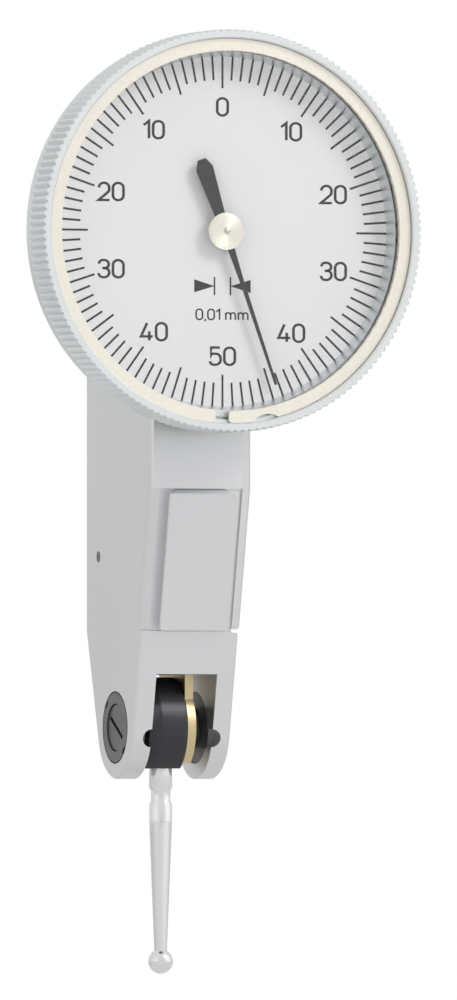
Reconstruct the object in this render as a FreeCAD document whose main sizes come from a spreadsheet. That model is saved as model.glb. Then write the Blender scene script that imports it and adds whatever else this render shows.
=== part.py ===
import FreeCAD, Part
import math
import os
import Sketcher

# Lever-type dial test indicator, millimetres.
# Z is up, X runs across the case from its left side to its cover, Y runs from front to back.
# The origin is the centre of the front dovetail's face.
#
# Each entry of SIZES is one driving dimension. The sheet holds them all, and every sketch,
# feature and placement below is bound to the sheet's cells.
SIZES = {
    # layout
    "slope_deg": 12.9,          # lean of the case's lower front, and of the dovetail on it
    "dial_height": 26.3,        # dial axis above the origin
    "pivot_drop": 13.2,         # stylus pivot below the origin
    "stylus_length": 18.8,    # pivot to the centre of the ball
    "standoff": 7.25,            # flat front of the case to the front of the bezel
    # case
    "case_left": 4.225,
    "case_right": 4.13,
    "case_depth": 15.4,
    "case_rise": 9.4,           # top of the case above the dial's centre
    "top_round": 2.5,
    "rear_bend": 5.4,           # where the back starts to taper, below the origin
    "ear_r": 4.14,
    "slot_half": 2.6,           # half the width between the two ears
    "slot_rise": 4.26,          # roof of the slot above the pivot
    "relief_r": 0.72,
    "relief_drop": 0.88,
    "relief_end": 0.0,          # bottom of the relief, in front of the pivot
    "left_wall": 1.22,
    "front_wall": 1.5,
    "rear_wall": 1.2,
    "top_wall": 2.0,
    "cavity_drop": 3.0,         # floor of the cavity below the origin
    "edge_break": 0.15,
    "turned_break": 0.1,        # small chamfer on turned pieces
    "end_gap": 0.1,             # free space at the end of a blind hole
    "cut_over": 0.1,            # how far a cutter runs past the metal
    # dovetails
    "rail_width": 6.1,
    "rail_height": 1.1,
    "rail_length": 11.49,
    "rail_flank_deg": 60.0,
    "rail_corner": 0.4,
    "rail_end_gap": 0.1,
    "floor_step": 0.2,          # milled floor beside the dovetail, below the case's front
    "edge_round": 0.8,
    "rear_rail_low": 16.0,
    "rear_rail_length": 14.0,
    # side cover
    "seam_x": 3.5,
    "cover_thick": 0.72,
    "cover_drop": 5.33,
    "shoulder_drop": 5.61,
    "cover_edge": 0.2,
    "cover_hole_r": 0.52,
    "screw_r": 0.5,
    "screw_head_r": 0.95,
    "screw_head": 0.4,
    "screw_slot": 0.26,
    "screw_slot_depth": 0.22,
    "cover_screw_length": 2.3,
    "cover_screw_inset": 1.25,
    # bezel, its ring and crystal; depths run back from the front of the bezel
    "bezel_r": 16.05,
    "lip_chamfer": 0.12,
    "knurl_end": 3.5,
    "knurl_count": 165,
    "knurl_depth": 0.22,
    "band_step": 0.2,
    "band_end": 4.85,
    "rim_wall": 0.7,
    "ring_step": 0.45,          # ring's face below the lip's
    "ring_width": 0.96,
    "ring_thick": 0.4,
    "ring_play": 0.03,
    "ring_chamfer": 0.1,
    "ring_gap": 1.14,
    "ring_corner": 0.3,
    "ring_gap_deg": 3.0,
    "notch_deg": 14.0,
    "notch_r": 1.7,
    "notch_out": 1.25,
    "crystal_step": 0.29,       # crystal's edge inside the ring's
    "crystal_thick": 0.4,
    "rehaut_step": 0.05,        # front of the cone between crystal and dial, inside the ring
    "rehaut_taper": 0.35,
    "dial_depth": 2.52,
    "dial_lap": 0.25,           # dial's edge under that cone
    "dial_thick": 0.4,
    "dial_hole_r": 0.9,
    # dial case
    "seat_step": 0.35,          # cylinder that the bezel turns on, outside the dial
    "seat_play": 0.05,
    "seat_front": 3.1,
    "seat_end": 5.0,
    "neck_step": 1.35,
    "neck_wall": 1.0,
    "case_floor": 1.2,
    "seat_break": 0.15,
    "neck_break": 0.4,
    "boss_r": 2.0,
    "boss_front": 4.65,
    "snap_wire": 0.44,
    "snap_play": 0.05,
    "snap_reach": 0.17,         # how far the wire stands out of the dial case
    "snap_depth": 3.925,
    "snap_wrap_deg": 345.0,
    "case_screw_x": 1.9,
    "case_screw_up": 5.5,
    "case_screw_down": 8.5,
    "case_screw_grip": 1.2,
    # pointer
    "spindle_r": 0.3,
    "spindle_stand": 0.1,
    "running_play": 0.02,
    "hub_r": 1.49,
    "hub_face_r": 1.33,
    "hub_step": 0.1,
    "hub_front": 1.43,
    "hub_thick": 0.35,
    "hub_boss": 0.5,
    "hub_boss_r": 0.75,
    "pointer_thick": 0.14,
    "pointer_eye": 0.25,        # metal round the hole in the pointer
    "pointer_margin": 1.02,     # tip of the pointer to the edge of the visible dial
    "pointer_root_half": 0.34,
    "pointer_neck": 4.0,
    "pointer_neck_half": 0.17,
    "pointer_tip_half": 0.09,
    "tail_length": 6.05,
    "tail_half": 0.72,
    "tail_shoulder": 5.3,
    "tail_end_half": 0.34,
    "pointer_deg": 160.5,
    "bush_r": 0.9,
    "bush_flange_r": 1.35,
    "bush_flange": 0.3,
    # gear train
    "train_module": 0.16,
    "sector_full_teeth": 192,
    "sector_teeth": 8,
    "arbor_teeth": 16,
    "crown_module": 0.15,
    "crown_teeth": 68,
    "centre_teeth": 14,
    "lever_ratio": 2.0,         # lever arm above the pivot over the sector's tail
    "backlash": 0.06,
    "tooth_root": 1.2,          # depth of a tooth space in modules
    "tooth_open": 1.5,          # where a crown space meets the air, in modules
    "pressure_deg": 20.0,
    "crown_face": 0.35,         # half the width of the crown teeth
    "crown_disc": 0.35,
    "crown_rim": 0.45,
    "crown_holes": 5,
    "crown_web": 0.65,
    "crown_hub_r": 1.2,
    "arbor_r": 0.5,
    "journal_r": 0.25,
    "journal_gap": 0.05,        # shoulder of an arbor to its bearing
    "bearing_r": 0.95,
    "bearing_play": 0.02,
    "bearing_stand": 0.3,
    "bearing_sink": 0.55,
    "sector_x": 1.5,
    "sector_thick": 0.7,
    "sector_hub_r": 1.3,
    "sector_tail_half": 1.0,
    "sector_tail_end": 1.2,
    "sector_waist": 0.62,
    "sector_rim": 1.4,
    "sector_arm": 0.7,
    "fork_open": 0.5,
    "fork_lead": 0.25,
    "pin_r": 0.4,
    "pin_play": 0.02,
    "bridge_thick": 0.8,
    "bridge_half": 0.65,
    "bridge_foot": 3.4,
    "bridge_lip": 0.9,
    "bridge_aspect": 2.5,
    "bridge_gap": 0.35,
    "bridge_screw_length": 1.5,
    "hairspring_r": 0.85,
    "hairspring_turns": 3,
    "hairspring_pitch": 0.5,
    "hairspring_width": 0.25,
    "hairspring_strip": 0.06,
    "spring_gap": 0.15,
    "collet_r": 0.8,
    "stud_r": 0.3,
    # measuring lever and clutch
    "lever_x": 0.65,
    "lever_thick": 0.7,
    "lever_disc_r": 3.75,
    "lever_flat": 2.85,
    "lever_half": 3.0,
    "lever_neck": 1.34,
    "lever_head_r": 1.2,
    "lever_hole": 0.5,
    "window_play": 0.35,
    "axle_r": 0.9,
    "axle_journal_r": 0.5,
    "axle_flange_r": 1.4,
    "axle_flange": 0.4,
    "axle_reach": 0.65,
    "axle_play": 0.03,
    "axle_screw_play": 0.1,
    "flange_sink": 0.08,
    "hub_left": 2.5,
    "clutch_play": 0.03,
    "clutch_hub_r": 4.05,
    "clutch_face_r": 3.5,
    "clutch_chamfer": 0.9,
    "clutch_rim": 0.15,
    "clutch_flat": 3.3,
    "clutch_gap": 0.05,
    "washer_r": 2.1,
    "washer_thick": 0.2,
    "washer_dish": 0.35,
    "nut_r": 1.9,
    "nut_thick": 0.5,
    "nut_flat": 1.65,
    # pivot bearings in the ears
    "pivot_bush_r": 2.92,
    "pivot_screw_r": 1.93,
    "pivot_inset": 0.1,
    "pivot_sink": 0.12,
    "pivot_slot": 0.36,
    "pivot_slot_depth": 0.35,
    "pivot_slot_deg": 59.0,
    "pivot_slot_end": 0.3,
    "pivot_groove": 0.12,       # dark ring between the bush and the ear
    "pivot_groove_depth": 0.25,
    "spanner_notch": 0.75,
    "spanner_deg": 47.0,
    "spanner_floor": 0.12,
    "spanner_depth": 0.45,
    "stop_pin_r": 0.46,
    "stop_play": 0.456,
    "stop_overlap": 0.5,
    "stop_drop": 1.46,          # stop below the lever's end
    # stylus; heights run down from the pivot
    "stylus_x": -0.32,
    "stylus_r": 0.925,
    "thread_r": 0.6,
    "thread_top": 1.5,
    "neck_top": 4.8,
    "neck_end": 5.9,
    "neck_cut_r": 0.8,
    "neck_flat": 0.12,
    "neck_lead": 0.24,
    "taper_start": 7.6,
    "stylus_end_r": 0.51,
    "ball_r": 1.0,
}


class Size:
    """A length with the formula it comes from, so that a feature can be bound to the sheet."""

    def __init__(self, value, text):
        self.value = float(value)
        self.text = text

    def join(self, other, sign, result):
        return Size(result, "(%s %s %s)" % (self.text, sign, size(other).text))

    def __add__(self, other):
        return self.join(other, "+", self.value + size(other).value)

    def __sub__(self, other):
        return self.join(other, "-", self.value - size(other).value)

    def __mul__(self, other):
        return self.join(other, "*", self.value * size(other).value)

    def __truediv__(self, other):
        return self.join(other, "/", self.value / size(other).value)

    def __radd__(self, other):
        return size(other) + self

    def __rsub__(self, other):
        return size(other) - self

    def __rmul__(self, other):
        return size(other) * self

    def __rtruediv__(self, other):
        return size(other) / self

    def __neg__(self):
        return Size(-self.value, "(0 - %s)" % self.text)


def size(number):
    """A Size for a plain number, or the Size itself."""
    if isinstance(number, Size):
        return number
    return Size(number, repr(float(number)) if number >= 0 else "(0 - %r)" % -float(number))


def sind(angle):
    angle = size(angle)
    return Size(math.sin(math.radians(angle.value)), "sin(%s * 1 deg)" % angle.text)


def cosd(angle):
    angle = size(angle)
    return Size(math.cos(math.radians(angle.value)), "cos(%s * 1 deg)" % angle.text)


def tand(angle):
    return sind(angle) / cosd(angle)


def root(number):
    return Size(math.sqrt(number.value), "sqrt(%s)" % number.text)


document = FreeCAD.newDocument("DialTestIndicator")
sheet = document.addObject("Spreadsheet::Sheet", "Sheet")
for row, (alias, number) in enumerate(SIZES.items(), start=1):
    sheet.set("A%d" % row, alias.replace("_", " "))
    sheet.set("B%d" % row, repr(number))
    sheet.setAlias("B%d" % row, alias)
document.recompute()


class Driven:
    """Reads driving dimensions as Sizes: D.bezel_r is the cell bezel_r."""

    def __getattr__(self, alias):
        return Size(SIZES[alias], "Sheet." + alias)


D = Driven()
nodes = {}
NORMAL = {"XY_Plane": 1, "YZ_Plane": 1, "XZ_Plane": -1}


# ---------------------------------------------------------------- building tools

def new_part(label, x=0.0, y=0.0, z=0.0, turn_axis=None, turn=0.0):
    """An empty body at (x, y, z), turned about one of its own axes."""
    part = document.addObject("PartDesign::Body", label)
    part.Label = label
    spin = "rotation(vector(%s); %s)" % (turn_axis or "0; 0; 1", size(turn).text)
    place = "; ".join(size(c).text for c in (x, y, z))
    part.setExpression("Placement", "placement(vector(%s); %s)" % (place, spin))
    nodes[label] = part
    return part


def new_sketch(part, plane, offset=0.0, tilt=None):
    """A sketch on one of the part's own planes, moved along the plane's axis or tilted about X."""
    sketch = part.newObject("Sketcher::SketchObject", part.Label + "_sketch")
    origin_plane = [o for o in part.Origin.OriginFeatures if o.Role == plane][0]
    sketch.AttachmentSupport = [(origin_plane, "")]
    sketch.MapMode = "FlatFace"
    lift = size(offset) * NORMAL[plane]
    lean = size(0.0 if tilt is None else tilt)
    sketch.setExpression(
        "AttachmentOffset",
        "placement(vector(0; 0; %s); rotation(vector(1; 0; 0); %s))" % (lift.text, lean.text),
    )
    return sketch


def bind(sketch, constraint, number):
    index = sketch.addConstraint(constraint)
    if isinstance(number, Size):
        sketch.setExpression("Constraints[%d]" % index, number.text)


def hold(sketch, geometry, point, x=None, y=None):
    """Pins a point of a sketch by its distances from the sketch's origin."""
    for kind, number in (("DistanceX", x), ("DistanceY", y)):
        if number is not None:
            constraint = Sketcher.Constraint(kind, -1, 1, geometry, point, size(number).value)
            bind(sketch, constraint, number)


def circle(sketch, x, y, radius):
    centre = FreeCAD.Vector(size(x).value, size(y).value, 0)
    round_edge = Part.Circle(centre, FreeCAD.Vector(0, 0, 1), size(radius).value)
    index = sketch.addGeometry(round_edge)
    hold(sketch, index, 3, x, y)
    bind(sketch, Sketcher.Constraint("Radius", index, size(radius).value), radius)


def tangent_point(here, other, side):
    """Where the straight run between two rounds leaves the first of them, going counter-clockwise."""
    (x, y, r), (u, v, q) = here, other
    span = math.hypot(u - x, v - y)
    along = ((u - x) / span, (v - y) / span)
    lean = (q - r) / span
    across = math.sqrt(1 - lean * lean) * side
    normal = (along[0] * lean + along[1] * across, along[1] * lean - along[0] * across)
    return (x + normal[0] * r, y + normal[1] * r)


def belt(sketch, stops):
    """A closed outline, counter-clockwise, pulled tight round its stops.

    A stop is a corner (x, y) or a round (x, y, radius) that the outline touches."""
    rounds = [tuple(size(n).value for n in stop) + (0.0,) * (3 - len(stop)) for stop in stops]
    count = len(stops)
    lines = []
    arcs = {}
    for i in range(count):
        here = rounds[i]
        after = rounds[(i + 1) % count]
        start = tangent_point(here, after, 1)
        end = tangent_point(after, here, -1)
        lines.append(sketch.addGeometry(Part.LineSegment(
            FreeCAD.Vector(*start, 0), FreeCAD.Vector(*end, 0))))
    for i, stop in enumerate(stops):
        if len(stop) == 2:
            continue
        x, y, r = rounds[i]
        came = tangent_point(rounds[i], rounds[i - 1], -1)
        goes = tangent_point(rounds[i], rounds[(i + 1) % count], 1)
        first = math.atan2(came[1] - y, came[0] - x)
        last = math.atan2(goes[1] - y, goes[0] - x)
        ring = Part.Circle(FreeCAD.Vector(x, y, 0), FreeCAD.Vector(0, 0, 1), r)
        arcs[i] = sketch.addGeometry(Part.ArcOfCircle(ring, first, last))
    for i, stop in enumerate(stops):
        before = lines[i - 1]
        after = lines[i]
        if i in arcs:
            sketch.addConstraint(Sketcher.Constraint("Tangent", before, 2, arcs[i], 1))
            sketch.addConstraint(Sketcher.Constraint("Tangent", arcs[i], 2, after, 1))
            hold(sketch, arcs[i], 3, stop[0], stop[1])
            radius = size(stop[2])
            bind(sketch, Sketcher.Constraint("Radius", arcs[i], radius.value), stop[2])
        else:
            sketch.addConstraint(Sketcher.Constraint("Coincident", before, 2, after, 1))
            hold(sketch, after, 1, stop[0], stop[1])


def outline(sketch, corners):
    """A closed outline through corners (x, y).

    A corner written (x, y, cx, cy, turn) starts an arc about (cx, cy) to the next corner:
    turn is 1 for counter-clockwise and -1 for clockwise."""
    count = len(corners)
    points = [(size(c[0]).value, size(c[1]).value) for c in corners]
    edges = []
    ends = []
    for i, corner in enumerate(corners):
        start = points[i]
        end = points[(i + 1) % count]
        if len(corner) == 2:
            edge = Part.LineSegment(FreeCAD.Vector(*start, 0), FreeCAD.Vector(*end, 0))
            ends.append((1, 2))
        else:
            cx = size(corner[2]).value
            cy = size(corner[3]).value
            first = math.atan2(start[1] - cy, start[0] - cx)
            last = math.atan2(end[1] - cy, end[0] - cx)
            if corner[4] < 0:
                first, last = last, first
            radius = math.hypot(start[0] - cx, start[1] - cy)
            ring = Part.Circle(FreeCAD.Vector(cx, cy, 0), FreeCAD.Vector(0, 0, 1), radius)
            edge = Part.ArcOfCircle(ring, first, last)
            ends.append((1, 2) if corner[4] > 0 else (2, 1))
        edges.append(sketch.addGeometry(edge))
    for i, corner in enumerate(corners):
        sketch.addConstraint(Sketcher.Constraint(
            "Coincident", edges[i - 1], ends[i - 1][1], edges[i], ends[i][0]))
        hold(sketch, edges[i], ends[i][0], corner[0], corner[1])
        if len(corner) > 2:
            end = points[(i + 1) % count]
            flat = abs(end[0] - points[i][0]) > abs(end[1] - points[i][1])
            if flat:
                hold(sketch, edges[i], 3, y=corner[3])
            else:
                hold(sketch, edges[i], 3, x=corner[2])


def box_outline(sketch, x0, x1, y0, y1):
    outline(sketch, [(x0, y0), (x1, y0), (x1, y1), (x0, y1)])


def feature(part, kind, sketch, name):
    made = part.newObject("PartDesign::" + kind, part.Label + "_" + name)
    made.Profile = sketch
    sketch.Visibility = False
    return made


def sketch_normal(sketch):
    """The sign of the axis that the sketch's plane faces."""
    return NORMAL[sketch.AttachmentSupport[0][0].Role]


def pad(sketch, length, towards=1, both=False):
    """Material from the sketch along the plane's axis: towards is the sign of the direction."""
    part = sketch.getParentGeoFeatureGroup()
    made = feature(part, "Pad", sketch, "pad")
    made.setExpression("Length", size(length).text)
    made.Midplane = both
    made.Reversed = towards != sketch_normal(sketch)
    return made


def pocket(sketch, length, towards=1, both=False):
    """A cut from the sketch along the plane's axis: towards is the sign of the direction."""
    part = sketch.getParentGeoFeatureGroup()
    made = feature(part, "Pocket", sketch, "pocket")
    made.setExpression("Length", size(length).text)
    made.Midplane = both
    made.Reversed = towards == sketch_normal(sketch)
    return made


def revolve(sketch, axis, kind="Revolution", angle=360.0):
    part = sketch.getParentGeoFeatureGroup()
    made = feature(part, kind, sketch, "turn")
    made.ReferenceAxis = (sketch, [axis])
    made.setExpression("Angle", size(angle).text)
    return made


def turned(label, axis, profile, x=0.0, y=0.0, z=0.0, turn=0.0):
    """A turned part. The profile is (distance along the axis, radius) all round the section."""
    facing = {"X": "1; 0; 0", "Y": "0; 1; 0", "Z": "0; 0; 1"}[axis]
    part = new_part(label, x, y, z, facing, turn)
    if axis == "X":
        sketch = new_sketch(part, "XY_Plane")
        corners = list(profile)
    elif axis == "Y":
        sketch = new_sketch(part, "XY_Plane")
        corners = [(r, a) for a, r in profile]
    else:
        sketch = new_sketch(part, "XZ_Plane")
        corners = [(r, a) for a, r in profile]
    outline(sketch, corners)
    revolve(sketch, "H_Axis" if axis == "X" else "V_Axis")
    return part


def ring_pattern(part, original, axis, count, extent=360.0):
    """Copies of a feature round one of the part's own axes, over a full turn or part of one."""
    pattern = part.newObject("PartDesign::PolarPattern", part.Label + "_pattern")
    pattern.Originals = [original]
    own_axis = [o for o in part.Origin.OriginFeatures if o.Role == axis + "_Axis"][0]
    pattern.Axis = (own_axis, [""])
    pattern.setExpression("Angle", size(extent).text)
    pattern.setExpression("Occurrences", size(count).text)
    part.Tip = pattern
    return pattern


def edges_where(part, wanted):
    """Names of the edges of the part's last feature whose middle point meets a test."""
    document.recompute()
    names = []
    for index, edge in enumerate(part.Tip.Shape.Edges, start=1):
        middle = edge.valueAt((edge.FirstParameter + edge.LastParameter) / 2)
        if wanted(middle, edge):
            names.append("Edge%d" % index)
    return names


def soften(part, kind, names, amount):
    """A fillet or a chamfer on the named edges of the part's last feature."""
    base = part.Tip
    made = part.newObject("PartDesign::" + kind, part.Label + "_" + kind.lower())
    made.Base = (base, names)
    made.setExpression("Radius" if kind == "Fillet" else "Size", size(amount).text)
    return made


def tooth_space(module, teeth, middle_deg):
    """Corners of the gap between two gear teeth, centred on an angle from the first axis."""
    pitch_r = module * teeth / 2
    base_r = pitch_r - module * D.tooth_root
    top_r = pitch_r + module * D.tooth_open
    gap = module * (math.pi / 2) + D.backlash

    def corner(radius, side):
        half = (gap * radius / pitch_r) / 2 + (radius - pitch_r) * tand(D.pressure_deg)
        along = radius * cosd(middle_deg) - half * side * sind(middle_deg)
        across = radius * sind(middle_deg) + half * side * cosd(middle_deg)
        return (along, across)

    return [corner(base_r, -1), corner(top_r, -1), corner(top_r, 1), corner(base_r, 1)]


# ---------------------------------------------------------------- shared places

rise = D.rail_height - D.floor_step                 # dovetail's face above the case's front
pivot_y = (rise + D.ear_r + sind(D.slope_deg) * D.pivot_drop) / cosd(D.slope_deg)
pivot_z = -D.pivot_drop
half_floor = D.rail_length / 2 + D.rail_end_gap
brow_z = cosd(D.slope_deg) * half_floor + sind(D.slope_deg) * rise
front_y = cosd(D.slope_deg) * rise - sind(D.slope_deg) * half_floor
rear_y = front_y + D.case_depth
bezel_y = front_y - D.standoff
slot_z = pivot_z + D.slot_rise
case_top = D.dial_height + D.case_rise
cavity_x = D.left_wall - D.case_left
cavity_top = case_top - D.top_wall
cavity_z = -D.cavity_drop


def slope_y(z, inset=0.0):
    """The sloping front's place at a height, set in by a wall."""
    return (rise + inset - sind(D.slope_deg) * z) / cosd(D.slope_deg)


train_r = D.train_module * D.sector_full_teeth / 2
arbor_pitch_r = D.train_module * D.arbor_teeth / 2
crown_r = D.crown_module * D.crown_teeth / 2
centre_r = D.crown_module * D.centre_teeth / 2
sector_z = D.dial_height - train_r - arbor_pitch_r
arm_length = (sector_z - pivot_z) * D.lever_ratio / (D.lever_ratio + 1)
tail_length = (sector_z - pivot_z) - arm_length
lever_end_x = D.lever_x + D.lever_thick
stop_y = pivot_y + D.lever_half + D.stop_play + D.stop_pin_r
stop_z = pivot_z + arm_length - D.stop_drop

lip_r = D.bezel_r - D.lip_chamfer
band_r = D.bezel_r - D.band_step
ring_outer_r = D.bezel_r - D.rim_wall - D.ring_play
ring_inner_r = ring_outer_r - D.ring_width
crystal_r = ring_outer_r - D.crystal_step
rehaut_front_r = ring_inner_r - D.rehaut_step
rehaut_rear_r = rehaut_front_r - D.rehaut_taper
dial_r = rehaut_rear_r + D.dial_lap
seat_r = dial_r + D.seat_step
neck_r = seat_r - D.neck_step
pointer_tip = rehaut_rear_r - D.pointer_margin
snap_front = D.snap_depth - D.snap_wire / 2
snap_back = D.snap_depth + D.snap_wire / 2
snap_r = seat_r + D.snap_reach
sector_end_x = D.sector_x + D.sector_thick
ring_back = D.ring_step + D.ring_thick
crystal_back = ring_back + D.crystal_thick
pinion_front = pivot_y - crown_r - D.crown_face - bezel_y
pinion_back = pinion_front + D.crown_face * 2


# ---------------------------------------------------------------- case

def case_outline():
    """The case from the side: flat front, sloping front, round ears, tapered and flat back."""
    return [
        (rear_y - D.top_round, case_top - D.top_round, D.top_round),
        (front_y, case_top),
        (front_y, brow_z),
        (pivot_y, pivot_z, D.ear_r),
        (rear_y, -D.rear_bend),
    ]


def dovetail(sketch, face, inwards, root_depth):
    """A dovetail's section: face is where its outer face lies, inwards the sign towards the case."""
    half = D.rail_width / 2
    undercut = D.rail_height / tand(D.rail_flank_deg)
    neck = half - undercut
    floor = face + D.rail_height * inwards
    foot = floor + root_depth * inwards
    corners = [(-half, face), (half, face), (neck, floor), (neck, foot), (-neck, foot), (-neck, floor)]
    outline(sketch, corners if inwards > 0 else corners[::-1])


def build_housing():
    part = new_part("housing")
    body_outline = new_sketch(part, "YZ_Plane", -D.case_left)
    belt(body_outline, case_outline())
    pad(body_outline, D.case_left + D.case_right)

    cover_seat = new_sketch(part, "YZ_Plane", D.seam_x)
    box_outline(cover_seat, front_y - 1, rear_y + 1, -D.shoulder_drop, case_top + 1)
    pocket(cover_seat, D.case_right)

    cavity = new_sketch(part, "YZ_Plane", D.seam_x)
    inner_rear = rear_y - D.rear_wall
    outline(cavity, [
        (inner_rear, cavity_top),
        (slope_y(brow_z, D.front_wall), cavity_top),
        (slope_y(brow_z, D.front_wall), brow_z),
        (slope_y(cavity_z, D.front_wall), cavity_z),
        (inner_rear, cavity_z),
    ])
    pocket(cavity, D.seam_x - cavity_x, towards=-1)

    slot = new_sketch(part, "XZ_Plane")
    box_outline(slot, -D.slot_half, D.slot_half, pivot_z - D.ear_r - 1, slot_z)
    pocket(slot, D.case_depth * 4, both=True)

    ear_bores = new_sketch(part, "YZ_Plane")
    circle(ear_bores, pivot_y, pivot_z, D.pivot_bush_r)
    pocket(ear_bores, D.case_left * 4, both=True)

    reliefs = new_sketch(part, "XZ_Plane", pivot_y - D.relief_end)
    for side in (-1, 1):
        circle(reliefs, D.slot_half * side, pivot_z - D.relief_drop, D.relief_r)
    pocket(reliefs, D.ear_r + 1, towards=-1)

    window = new_sketch(part, "XY_Plane", cavity_z)
    reach = D.lever_half + D.window_play
    box_outline(window, D.lever_x - D.window_play, lever_end_x + D.window_play,
                pivot_y - reach, pivot_y + reach)
    pocket(window, cavity_z - slot_z, towards=-1)

    floor = new_sketch(part, "XY_Plane", tilt=D.slope_deg)
    box_outline(floor, -D.case_left - 1, D.seam_x + 1, -D.rail_height, D.rail_height)
    pocket(floor, half_floor * 2, both=True)

    front_rail = new_sketch(part, "XY_Plane", tilt=D.slope_deg)
    dovetail(front_rail, size(0.0), 1, D.floor_step)
    pad(front_rail, D.rail_length, both=True)

    rear_rail = new_sketch(part, "XY_Plane", D.rear_rail_low)
    dovetail(rear_rail, rear_y + D.rail_height, -1, D.floor_step)
    pad(rear_rail, D.rear_rail_length)

    spindle_hole = new_sketch(part, "XZ_Plane", front_y - 1)
    circle(spindle_hole, 0.0, D.dial_height, D.bush_flange_r)
    pocket(spindle_hole, D.front_wall + 2)

    case_screw_holes = new_sketch(part, "XZ_Plane", front_y - 1)
    for x, z in case_screw_places():
        circle(case_screw_holes, x, z, D.screw_r)
    pocket(case_screw_holes, D.case_screw_grip + 1)

    bearing_seats = new_sketch(part, "YZ_Plane", cavity_x)
    for z in (sector_z, D.dial_height):
        circle(bearing_seats, pivot_y, z, D.bearing_r)
    pocket(bearing_seats, D.bearing_sink, towards=-1)

    pin_hole = new_sketch(part, "YZ_Plane", -D.case_left)
    circle(pin_hole, stop_y, stop_z, D.stop_pin_r)
    pocket(pin_hole, D.left_wall)

    stud_hole = new_sketch(part, "YZ_Plane", cavity_x)
    circle(stud_hole, pivot_y, stud_z, D.stud_r)
    pocket(stud_hole, D.bearing_sink, towards=-1)

    cover_screw_holes = new_sketch(part, "YZ_Plane", D.seam_x)
    for y, z in cover_screw_places():
        circle(cover_screw_holes, y, z, D.screw_r)
    pocket(cover_screw_holes, D.cover_screw_length, towards=-1)

    bridge_hole = new_sketch(part, "XY_Plane", cavity_top)
    circle(bridge_hole, bridge_screw_x, bridge_screw_y, D.screw_r)
    pocket(bridge_hole, D.bridge_screw_length)

    soften_housing(part)


def soften_housing(part):
    lean = math.radians(SIZES["slope_deg"])
    half_length = SIZES["rail_length"] / 2
    half_width = SIZES["rail_width"] / 2
    neck = half_width - SIZES["rail_height"] / math.tan(math.radians(SIZES["rail_flank_deg"]))

    def on_slope(point):
        """Distance up the sloping front, and depth behind the dovetail's face."""
        up = point.z * math.cos(lean) - point.y * math.sin(lean)
        deep = point.y * math.cos(lean) + point.z * math.sin(lean)
        return up, deep

    def rail_corner(point, edge):
        up, deep = on_slope(point)
        level = 0 < deep < SIZES["rail_height"]
        side = neck < abs(point.x) < half_width
        return abs(abs(up) - half_length) < 1e-3 and level and side

    def floor_edge(point, edge):
        up, deep = on_slope(point)
        at_floor = abs(deep - SIZES["rail_height"]) < 1e-3
        return at_floor and abs(point.x + SIZES["case_left"]) < 1e-3 and abs(up) < half_length

    def rail_rim(point, edge):
        up, deep = on_slope(point)
        return abs(deep) < 1e-3 and abs(up) < half_length + 1e-3 and abs(point.x) < half_width + 1e-3

    def outer_edge(point, edge):
        left = abs(point.x + SIZES["case_left"]) < 1e-3
        fork_right = abs(point.x - SIZES["case_right"]) < 1e-3
        on_hole = edge.Curve.TypeId == "Part::GeomCircle" and edge.Closed
        up, deep = on_slope(point)
        in_floor = abs(deep - SIZES["rail_height"]) < 1e-3
        rounded = abs(up) < half_length + SIZES["rail_end_gap"] + 1e-3 and point.y < front_y.value + 3
        return (left or fork_right) and not on_hole and not in_floor and not rounded

    soften(part, "Fillet", edges_where(part, rail_corner), D.rail_corner)
    soften(part, "Fillet", edges_where(part, floor_edge), D.edge_round)
    soften(part, "Chamfer", edges_where(part, rail_rim), D.edge_break)
    soften(part, "Chamfer", edges_where(part, outer_edge), D.edge_break)


def case_screw_places():
    """Three screws that hold the dial case to the flat front of the case."""
    return [
        (-D.case_screw_x, D.dial_height + D.case_screw_up),
        (D.case_screw_x, D.dial_height + D.case_screw_up),
        (0.0, D.dial_height - D.case_screw_down),
    ]


def cover_screw_places():
    """Four screws, one near each corner of the cover."""
    high = case_top - D.cover_screw_inset
    low = D.cover_screw_inset - D.cover_drop
    return [
        (front_y + D.cover_screw_inset * 2, high),
        (rear_y - D.cover_screw_inset * 2, high),
        (slope_y(low, D.cover_screw_inset), low),
        (rear_y - D.cover_screw_inset, low),
    ]


spring_outer_r = D.hairspring_r + D.hairspring_pitch * D.hairspring_turns + D.hairspring_strip
stud_z = D.dial_height + spring_outer_r + D.stud_r
bridge_y = bezel_y + pinion_back + D.bridge_gap
bridge_screw_x = D.bridge_half / 4
bridge_screw_y = bridge_y + D.bridge_thick + (D.bridge_foot - D.bridge_thick) / 2


def build_cover():
    part = new_part("side_cover")
    plate = new_sketch(part, "YZ_Plane", D.seam_x)
    belt(plate, [
        (rear_y - D.top_round, case_top - D.top_round, D.top_round),
        (front_y, case_top),
        (front_y, brow_z),
        (slope_y(-D.cover_drop), -D.cover_drop),
        (rear_y, -D.cover_drop),
    ])
    pad(plate, D.cover_thick)
    outer = new_sketch(part, "YZ_Plane", D.seam_x + D.cover_thick)
    for y, z in cover_screw_places():
        circle(outer, y, z, D.screw_head_r)
    pocket(outer, D.screw_head, towards=-1)
    through = new_sketch(part, "YZ_Plane", D.seam_x)
    for y, z in cover_screw_places():
        circle(through, y, z, D.cover_hole_r)
    pocket(through, D.cover_thick)
    seats = new_sketch(part, "YZ_Plane", D.seam_x)
    for z in (sector_z, D.dial_height):
        circle(seats, pivot_y, z, D.bearing_r)
    pocket(seats, D.bearing_sink)
    outside = SIZES["seam_x"] + SIZES["cover_thick"]

    def outer_rim(point, edge):
        return abs(point.x - outside) < 1e-3 and not edge.Closed

    soften(part, "Chamfer", edges_where(part, outer_rim), D.cover_edge)


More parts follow.
